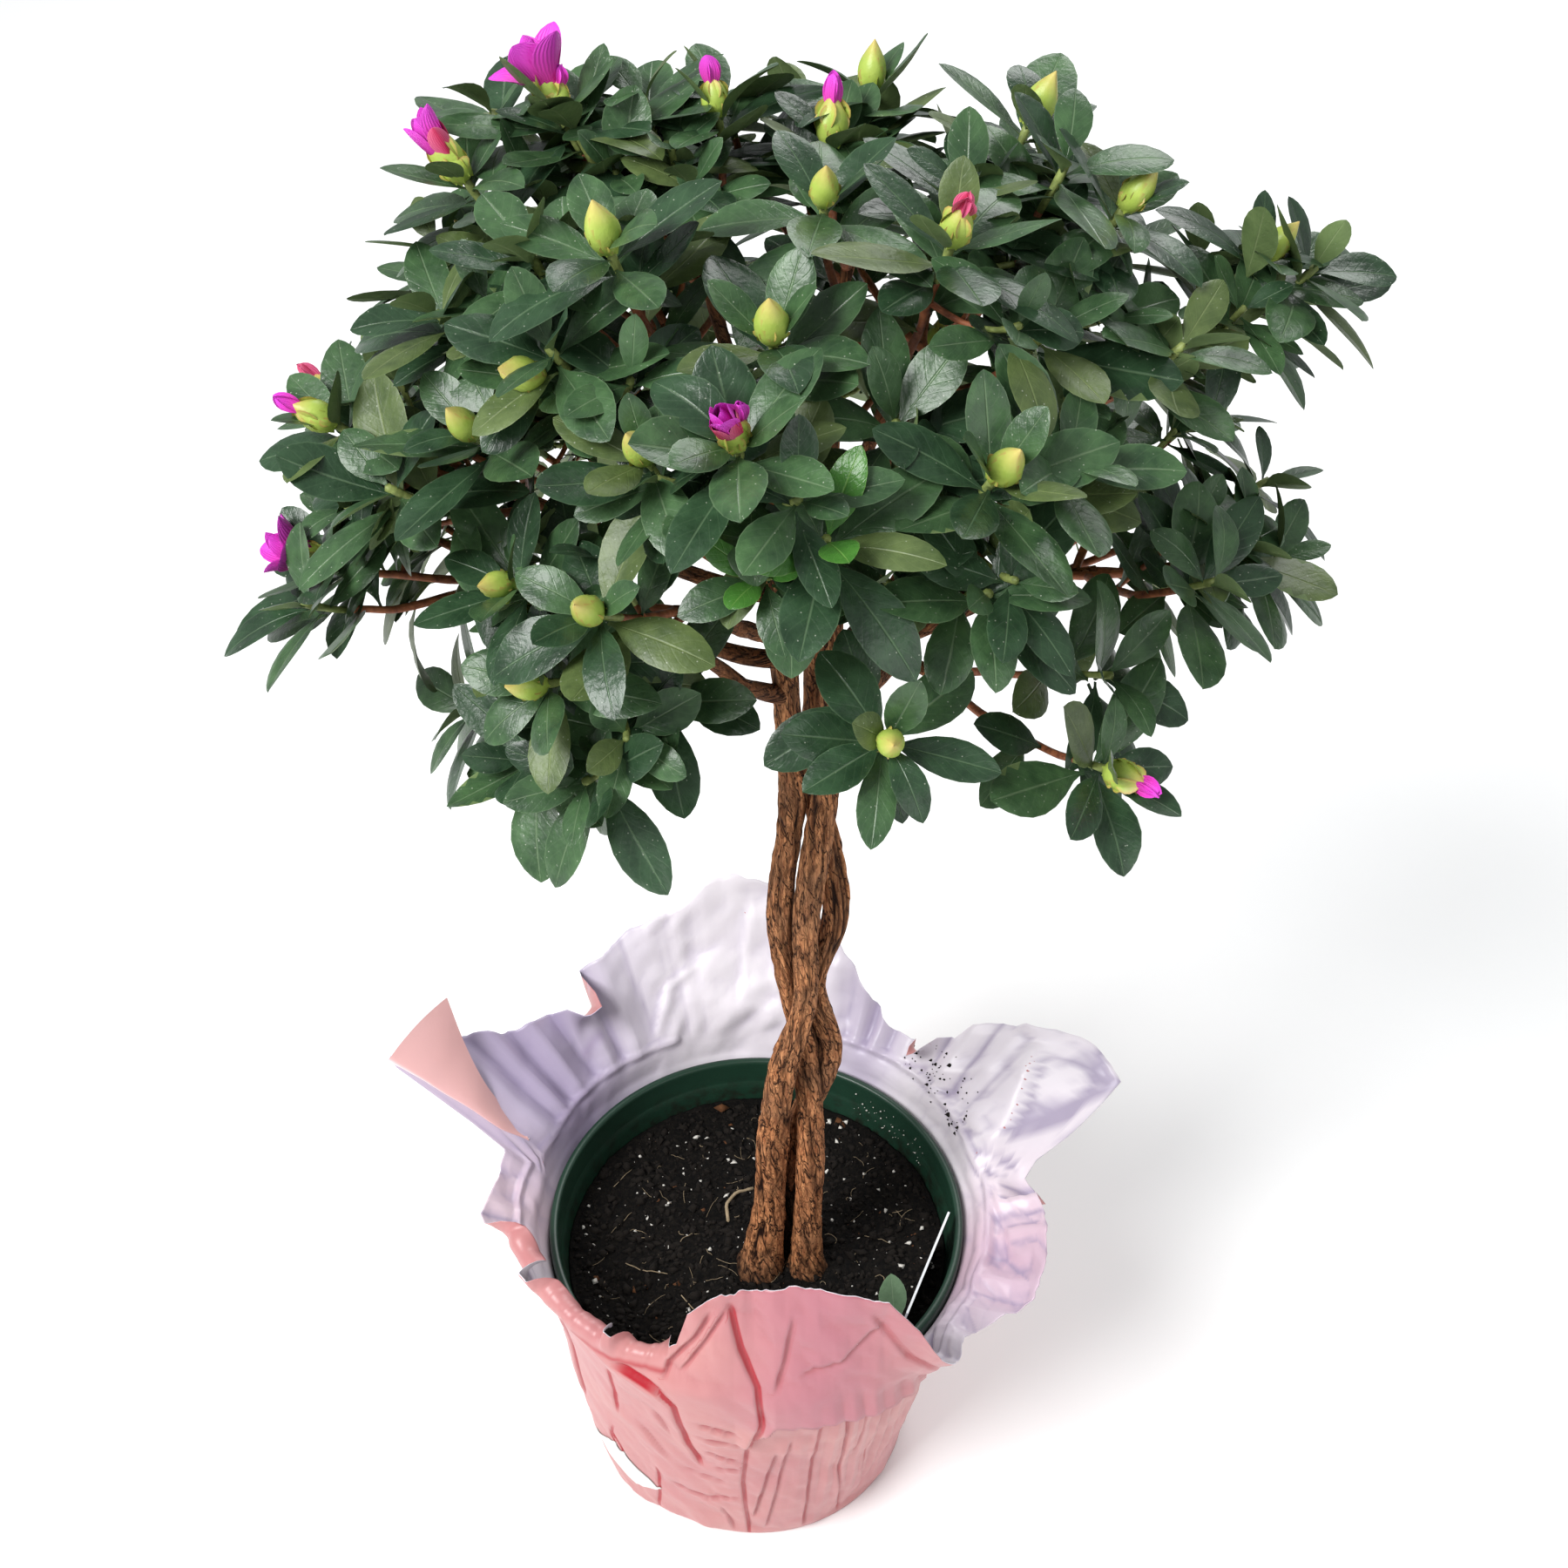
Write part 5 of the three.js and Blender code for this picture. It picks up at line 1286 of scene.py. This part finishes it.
def leathery_leaf(name, light, dark, vein, roughness, vein_depth, dusty):
    """A waxy leaf: satin, with a paler sunken midrib and side veins every 4 mm, and a little dust."""
    material, shader = begin_material(name, IOR=1.45, Roughness=roughness)
    place = add_node(material, "TexCoord").outputs["Object"]
    blade = add_node(material, "UVMap", {"uv_map": "surface"})
    split = add_node(material, "SeparateXYZ", {}, {"Vector": blade.outputs["UV"]})
    centred = add_node(material, "Math", {"operation": "SUBTRACT", 1: 0.5}, {0: split.outputs["X"]})
    side = add_node(material, "Math", {"operation": "ABSOLUTE"}, {0: centred})
    midrib = add_node(material, "MapRange", {"From Min": 0.03, "From Max": 0.008}, {"Value": side})
    rise = add_node(material, "Math", {"operation": "MULTIPLY", 1: 7.5}, {0: split.outputs["Y"]})
    sweep = add_node(material, "Math", {"operation": "MULTIPLY_ADD", 1: -4.2}, {0: side, 2: rise})
    turn = add_node(material, "Math", {"operation": "FRACT"}, {0: sweep})
    off = add_node(material, "Math", {"operation": "SUBTRACT", 1: 0.5}, {0: turn})
    near = add_node(material, "Math", {"operation": "ABSOLUTE"}, {0: off})
    side_vein = add_node(
        material, "MapRange", {"From Min": 0.11, "From Max": 0.0, "To Max": 0.6}, {"Value": near}
    )
    mottle = add_node(
        material, "TexNoise", {"Scale": 1 / 0.008, "Detail": 5, "Roughness": 0.6}, {"Vector": place}
    )
    spread = add_node(material, "MapRange", {"From Min": 0.32, "From Max": 0.68}, {"Value": mottle})
    tone = add_node(material, "Mix", {6: dark, 7: light}, {0: spread})
    rib = add_node(material, "Math", {"operation": "MULTIPLY", 1: 0.27}, {0: midrib})
    faint = add_node(material, "Math", {"operation": "MULTIPLY", 1: 0.07}, {0: side_vein})
    margin = add_node(
        material, "MapRange", {"From Min": 0.47, "From Max": 0.5, "To Max": 0.22}, {"Value": side}
    )
    lines = add_node(material, "Math", {"operation": "MAXIMUM"}, {0: rib, 1: faint})
    share = add_node(material, "Math", {"operation": "MAXIMUM"}, {0: lines, 1: margin})
    veined = add_node(material, "Mix", {7: vein}, {0: share, 6: tone})
    specks = add_node(material, "TexVoronoi", {"Scale": 1 / 0.0021}, {"Vector": place})
    dot = add_node(
        material, "MapRange", {"From Min": 0.11, "From Max": 0.05, "To Max": dusty},
        {"Value": specks.outputs["Distance"]},
    )
    dusted = add_node(material, "Mix", {7: "#c9cdbd"}, {0: dot, 6: veined})
    pebble = add_node(material, "TexNoise", {"Scale": 1 / 0.0016, "Detail": 3}, {"Vector": place})
    groove = add_node(material, "Math", {"operation": "MULTIPLY_ADD", 1: 0.22}, {0: side_vein, 2: midrib})
    relief = add_node(material, "Math", {"operation": "MULTIPLY_ADD", 1: -1.0}, {0: groove, 2: pebble})
    finish_surface(material, shader, dusted, relief, 0.45, vein_depth)
    return material


leaf_materials = [
    leathery_leaf("waxy_leaf_mature", "#486741", "#2a432a", "#8fa580", 0.33, 0.0004, 0.5),
    leathery_leaf("waxy_leaf_dark", "#344f35", "#1d3320", "#7d9873", 0.31, 0.0004, 0.45),
    leathery_leaf("waxy_leaf_old_olive", "#5f7040", "#43542e", "#93a06b", 0.42, 0.0004, 0.5),
    leathery_leaf("waxy_leaf_fresh", "#4b8034", "#366528", "#a5d070", 0.28, 0.0005, 0.1),
    leathery_leaf("leaf_underside_matt", "#6f8452", "#586d40", "#a4b183", 0.6, 0.0003, 0.1),
]

chance = np.random.default_rng(131)
for plan in plans:
    places = []
    for shoot in (s for s in shoots if s["plan"] is plan):
        axis, tip, line = unit(shoot["axis"] + ROSETTE["rise"] * UP), shoot["tip"], shoot["line"]
        first = unit(np.cross(axis, direction(360 * chance.random(), 10)))
        second = np.cross(axis, first)
        spin = 2 * np.pi * chance.random()
        whorl = ROSETTE["leaves"] + int(chance.integers(-1, 2)) - (2 if shoot["side"] else 0)
        fresh = plan["name"] == "front_upper" and shoot["k"] == 3
        for i in range(whorl):
            share = i / (whorl - 1)
            opened = (ROSETTE["spread"] - ROSETTE["upright"]) * share**0.6
            pitch = math.radians(ROSETTE["upright"] + opened + 9 * chance.normal())
            turn = spin + i * GOLDEN_ANGLE
            outward = first * math.cos(turn) + second * math.sin(turn)
            along = axis * math.cos(pitch) + outward * math.sin(pitch)
            up = axis * math.sin(pitch) - outward * math.cos(pitch) + 0.25 * UP
            size = LEAF["length"] * (0.6 + 0.4 * min(share * 1.6, 1)) * (0.78 + 0.36 * chance.random())
            size *= 0.8 if shoot["side"] else 1.0
            foot = tip - axis * (0.6 + i * ROSETTE["spacing"]) + outward * 0.7
            tone = chance.choice([MATURE, DARK, OLIVE], p=[0.6, 0.33, 0.07])
            if fresh and i < 3:
                tone = FRESH
            places.append((
                foot, along, up, size,
                (3 + size * (LEAF["width_share"] - 0.1)) * (0.8 + 0.36 * chance.random()),
                0.3 + 0.3 * chance.normal(), 0.08 * chance.normal() + 0.04, 0.25 * chance.normal(), tone,
            ))
        below_count = 3 if not shoot["side"] else 1
        for j in range(below_count + int(chance.integers(0, 2))):
            back = 11 + j * 8 + 4 * chance.random()
            run = np.linalg.norm(np.diff(line, axis=0), axis=1)[::-1].cumsum()
            at = len(line) - 2 - int(np.searchsorted(run, back))
            if at < 1:
                break
            along_twig = unit(line[at + 1] - line[at])
            turn = spin + (whorl + j) * GOLDEN_ANGLE + chance.normal() * 0.4
            outward = unit(np.cross(along_twig, first) * math.sin(turn) + first * math.cos(turn))
            outward = unit(outward - along_twig * (outward @ along_twig))
            along = unit(outward + along_twig * (0.35 + 0.25 * chance.normal()) + 0.15 * UP)
            size = LEAF["length"] * (0.68 + 0.26 * chance.random())
            tone = chance.choice([MATURE, DARK, OLIVE], p=[0.35, 0.4, 0.25])
            places.append((
                line[at] + outward * 0.8, along, 0.6 * unit(line[at] - DOME["centre"]) + 0.6 * UP, size,
                size * (LEAF["width_share"] + 0.04) * (0.9 + 0.25 * chance.random()),
                0.25 + 0.3 * chance.normal(), 0.05 * chance.normal(), 0.3 * chance.normal(), tone,
            ))
    points, faces, kinds, uv = blades(places)
    leaves = make_piece("leaves_" + plan["name"], points, faces, leaf_materials, kinds, uv=uv)
    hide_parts("foliage_" + plan["name"])

# A seedling's single broad leaf stands up out of the soil at the front right of the pot.
places = [(
    np.array([54.5, -37, 112.5]), np.array([-0.08, 0.15, 1]), np.array([0, -0.75, 0.6]),
    28.0, 11.0, 0.1, 0.05, 0.1, 0,
)]
points, faces, kinds, uv = blades(places)
grey_green_leaf = leathery_leaf("waxy_leaf_grey_green", "#7d9a78", "#64815f", "#a9bd9d", 0.4, 0.0004, 0.2)
seedling = make_piece("seedling_leaf", points, faces, [grey_green_leaf], uv=uv)

# ---- Flower buds and opening flowers ----
# Fat pointed buds of overlapping green scales stand in the middle of many rosettes. Some have burst
# and show magenta petals, and a few are half open.

BUD = {"length": 14.0, "radius": 3.9}
CLOSED, TIPPED, BURST, OPEN = range(4)
BLOOMS = {  # what stands on a spray's shoots, by the shoot's number
    "front_low": {0: CLOSED}, "right_low": {20: TIPPED, 2: CLOSED}, "right_outer": {0: CLOSED},
    "right_upper": {0: CLOSED}, "front_right": {0: CLOSED}, "front_upper": {0: BURST, 1: CLOSED, 2: CLOSED},
    "top_front_right": {0: TIPPED, 1: CLOSED}, "top_back": {20: TIPPED, 0: CLOSED},
    "top_right": {2: CLOSED, 3: CLOSED}, "back_left_upper": {0: CLOSED, 4: CLOSED},
    "top_back_left": {20: OPEN, 1: TIPPED}, "top_left": {0: CLOSED}, "left_upper": {0: BURST, 20: CLOSED},
    "left": {4: TIPPED, 0: TIPPED, 1: CLOSED}, "left_low": {0: OPEN}, "front_left": {0: CLOSED},
    "front_left_low": {0: TIPPED}, "back_low": {0: OPEN, 2: TIPPED}, "back_left_low": {0: CLOSED, 3: TIPPED},
    "back_right_low": {0: TIPPED, 1: CLOSED}, "back_right_upper": {0: BURST, 2: CLOSED},
}
BUD_ROWS, BUD_SIDES = 14, 24
BUD_OUTLINE = [
    (0, 0.42), (0.08, 0.68), (0.2, 0.91), (0.36, 1), (0.5, 0.96), (0.65, 0.78), (0.8, 0.48),
    (0.92, 0.2), (1, 0.02),
]
SCALES = [  # layers of scales at the bud's foot: height, length, lean from the bud's axis, count
    (0.0, 0.36, 30, 3), (0.04, 0.52, 16, 3),
]


def bud_width(t):
    """The bud's radius along its length, as a share: an egg with a point."""
    return np.interp(t, *np.array(BUD_OUTLINE).T)


def bud_body(tip, axis, length, radius, spin):
    """A bud of three scales that wrap round one another, with their edges winding up it; and its uv."""
    first = unit(np.cross(axis, np.array([0.3, 0.9, 0.2])))
    t = np.linspace(0, 1, BUD_ROWS)
    turn = 2 * np.pi * np.arange(BUD_SIDES) / BUD_SIDES
    across = np.cos(turn)[:, None] * first + np.sin(turn)[:, None] * np.cross(axis, first)
    lap = np.mod(3 * turn / (2 * np.pi) + 0.8 * t[:, None] + spin, 1)
    width = radius * bud_width(t)[:, None] * (0.93 + 0.13 * lap) + 0.05
    rings = tip + t[:, None, None] * length * axis + width[..., None] * across
    uv = np.stack([0.5 + 0.5 * lap, t[:, None] + 0 * lap], -1)
    return rings.reshape(-1, 3), sheet_faces(BUD_ROWS, BUD_SIDES), uv.reshape(-1, 2)


def whorl(tip, axis, count, length, width, lean, spin, base, out, inward, cup, spread=0.0):
    """Scales or petals round an axis, as blades that cup towards it."""
    first = unit(np.cross(axis, np.array([0.1, 0.8, 0.4])))
    second = np.cross(axis, first)
    made = []
    for i in range(count):
        turn = spin + 2 * np.pi * i / count
        pitch = math.radians(lean + spread * chance.normal())
        outward = first * math.cos(turn) + second * math.sin(turn)
        along = axis * math.cos(pitch) + outward * math.sin(pitch)
        up = axis * math.sin(pitch) - outward * math.cos(pitch)
        size = length * (0.9 + 0.2 * chance.random())
        made.append((
            tip + axis * base + outward * out, along, up, size, width * (0.9 + 0.2 * chance.random()),
            inward + 0.12 * spread * chance.normal() / 4, cup, 0.05 * spread * chance.normal(), 0,
        ))
    return made


chance = np.random.default_rng(141)
bud_parts, scale_places, petal_places, pink_places = [], [], [], []
for shoot in shoots:
    plan, k = shoot["plan"], shoot["k"]
    kind = BLOOMS.get(plan["name"], {}).get(k) if not shoot["side"] else None
    if kind is None:
        if chance.random() > 0.12:
            continue
        kind = CLOSED
    axis, tip = unit(shoot["axis"] + 0.1 * chance.normal(size=3)), shoot["tip"] - shoot["axis"] * 0.8
    buds_here = [(axis, 0.88 + 0.24 * chance.random(), kind)]
    if kind in (OPEN, BURST):
        side = unit(np.cross(axis, direction(360 * chance.random(), 10)))
        buds_here.append((unit(axis + 0.5 * side), 0.72, TIPPED))
    for axis, grown, kind in buds_here:
        spin = 2 * np.pi * chance.random()
        length, radius = BUD["length"] * grown, BUD["radius"] * grown
        body = length * {CLOSED: 1, TIPPED: 0.9, BURST: 0.7, OPEN: 0.5}[kind]
        bud_parts.append(bud_body(tip, axis, body, radius * (1 if kind < BURST else 0.85), spin))
        for layer, (at, long, lean, count) in enumerate(
            SCALES + ([(0.1, 0.72, 12, 3)] if kind != CLOSED else [])
        ):
            out = radius * (0.35 + 0.6 * float(bud_width(at)))
            scale_places += whorl(
                tip, axis, count, long * length, 2.1 * radius, lean + (6 if kind > TIPPED else 0),
                spin + 0.9 * layer,
                at * length, out * 0.8, -0.75, 0.42, 1.5
            )
        if kind == TIPPED:
            (petal_places if chance.random() < 0.75 else pink_places).extend(
                whorl(tip, axis, 4, 0.72 * length, 5.2, 6, spin, 0.46 * length, 1.0, -0.3, 0.5, 3)
            )
        if kind == BURST:
            petal_places += whorl(tip, axis, 5, 0.9 * length, 7.0, 13, spin, 0.4 * length, 1.6, -0.25, 0.5, 6)
            pink_places += whorl(
                tip, axis, 3, 0.7 * length, 6.0, 17, spin + 0.5, 0.36 * length, 2.0, -0.5, 0.5, 4
            )
        if kind == OPEN:
            petal_places += whorl(tip, axis, 5, 1.1 * length, 10.0, 27, spin, 0.3 * length, 1.8, 0.0, 0.4, 9)
            petal_places += whorl(
                tip, axis, 4, 1.0 * length, 7.0, 8, spin + 0.6, 0.35 * length, 1.2, -0.1, 0.45, 6
            )

# Bud scales: waxy, yellow green, thin and papery brown along each scale's edge.
bud_scale, shader = begin_material("waxy_bud_scale", IOR=1.45, Roughness=0.4)
place = add_node(bud_scale, "TexCoord").outputs["Object"]
blade = add_node(bud_scale, "UVMap", {"uv_map": "surface"})
split = add_node(bud_scale, "SeparateXYZ", {}, {"Vector": blade.outputs["UV"]})
cloud = add_node(bud_scale, "TexNoise", {"Scale": 1 / 0.004, "Detail": 4}, {"Vector": place})
green = add_node(bud_scale, "Mix", {6: "#8ba83c", 7: "#c3d468"}, {0: cloud})
high = add_node(
    bud_scale, "MapRange", {"From Min": 0.6, "From Max": 1.0, "To Max": 0.6}, {"Value": split.outputs["Y"]}
)
tipped = add_node(bud_scale, "Mix", {7: "#dfb076"}, {0: high, 6: green})
centred = add_node(bud_scale, "Math", {"operation": "SUBTRACT", 1: 0.5}, {0: split.outputs["X"]})
side = add_node(bud_scale, "Math", {"operation": "ABSOLUTE"}, {0: centred})
thin = add_node(bud_scale, "MapRange", {"From Min": 0.4, "From Max": 0.5, "To Max": 0.6}, {"Value": side})
edged = add_node(bud_scale, "Mix", {7: "#b5714e"}, {0: thin, 6: tipped})
hairs = add_node(bud_scale, "TexNoise", {"Scale": 1 / 0.0008, "Detail": 3}, {"Vector": place})
finish_surface(bud_scale, shader, edged, hairs, 0.4, 0.0002)
points, faces = join([part[:2] for part in bud_parts])
buds = make_piece(
    "flower_buds", points, faces, [bud_scale], uv=np.concatenate([part[2] for part in bud_parts])
)
points, faces, kinds, uv = blades(scale_places)
scales = make_piece("flower_bud_scales", points, faces, [bud_scale], uv=uv)

# Petals: thin and silky, magenta, paler to the edge, ribbed lengthwise about every millimetre.
silky_petal, shader = begin_material("silky_petal_magenta", IOR=1.4, Roughness=0.5, Subsurface_Weight=0.15)
shader.inputs["Subsurface Radius"].default_value = (0.002, 0.0008, 0.002)
blade = add_node(silky_petal, "UVMap", {"uv_map": "surface"})
split = add_node(silky_petal, "SeparateXYZ", {}, {"Vector": blade.outputs["UV"]})
pale = add_node(silky_petal, "MapRange", {"From Min": 0.1, "From Max": 0.95}, {"Value": split.outputs["Y"]})
petal_tone = add_node(silky_petal, "Mix", {6: "#d23590", 7: "#e04ad4"}, {0: pale})
ribs = add_node(silky_petal, "TexWave", {"Scale": 3.5, "Distortion": 1.5}, {"Vector": blade.outputs["UV"]})
finish_surface(silky_petal, shader, petal_tone, ribs.outputs["Fac"], 0.4, 0.0003)
# The youngest petals, still folded, are redder and paler along their edges.
folded_petal, shader = begin_material("silky_petal_folded_pink", IOR=1.4, Roughness=0.5)
blade = add_node(folded_petal, "UVMap", {"uv_map": "surface"})
split = add_node(folded_petal, "SeparateXYZ", {}, {"Vector": blade.outputs["UV"]})
centred = add_node(folded_petal, "Math", {"operation": "SUBTRACT", 1: 0.5}, {0: split.outputs["X"]})
side = add_node(folded_petal, "Math", {"operation": "ABSOLUTE"}, {0: centred})
young_tone = add_node(folded_petal, "Mix", {6: "#cf2f5e", 7: "#e885b0"}, {0: side})
ribs = add_node(folded_petal, "TexWave", {"Scale": 3.5, "Distortion": 1.5}, {"Vector": blade.outputs["UV"]})
finish_surface(folded_petal, shader, young_tone, ribs.outputs["Fac"], 0.4, 0.0003)
for name, places, material in [
    ("flower_petals", petal_places, silky_petal), ("flower_petals_young", pink_places, folded_petal),
]:
    points, faces, kinds, uv = blades(places)
    piece = make_piece(name, points, faces, [material], uv=uv)

# ---- Floor, light and camera ----
# A plain pale floor, a wide soft light overhead at the left with weaker ones from the front right
# and from behind, and a camera that looks down on the plant from the front.

floor = make_piece(
    "floor", np.array([(-4000, -4000, 0), (4000, -4000, 0), (4000, 4000, 0), (-4000, 4000, 0)], float),
    np.array([(0, 1, 2, 3)]), [],
)
floor_paint, shader = begin_material("floor_paint_white", Roughness=0.9)
shader.inputs["Base Color"].default_value = linear("#fbfbfa")
floor.data.materials.append(floor_paint)

world = bpy.data.worlds.new("studio")
bpy.context.scene.world = world
world.use_nodes = True
world.node_tree.nodes["Background"].inputs["Color"].default_value = linear("#f3f6fa")
world.node_tree.nodes["Background"].inputs["Strength"].default_value = 0.44
for name, place, aim, size, power in [
    ("light_overhead_left", (-1.3, -1.1, 2.0), (0, 0, 0.35), 1.1, 70),
    ("light_front_right", (1.9, -1.9, 1.3), (0, 0, 0.3), 1.6, 14),
    ("light_back", (0.8, 2.1, 2.2), (0.2, 0.6, 0), 1.6, 40),
]:
    lamp = bpy.data.lights.new(name, "AREA")
    lamp.size, lamp.energy = size, power
    light = bpy.data.objects.new(name, lamp)
    light.location = place
    towards = np.array(aim) - np.array(place)
    light.rotation_euler = (
        math.acos(-towards[2] / np.linalg.norm(towards)), 0, math.atan2(towards[1], towards[0]) - math.pi / 2,
    )
    bpy.context.scene.collection.objects.link(light)

lens = bpy.data.cameras.new("camera")
lens.lens, lens.sensor_width, lens.clip_start, lens.clip_end = 45, 36, 0.05, 50
camera = bpy.data.objects.new("camera", lens)
camera.location = (0.011, -0.474, 0.782)
camera.rotation_euler = (math.radians(90 - 41.4), 0, 0)
bpy.context.scene.collection.objects.link(camera)
bpy.context.scene.camera = camera
bpy.context.scene.view_settings.view_transform = "Standard"
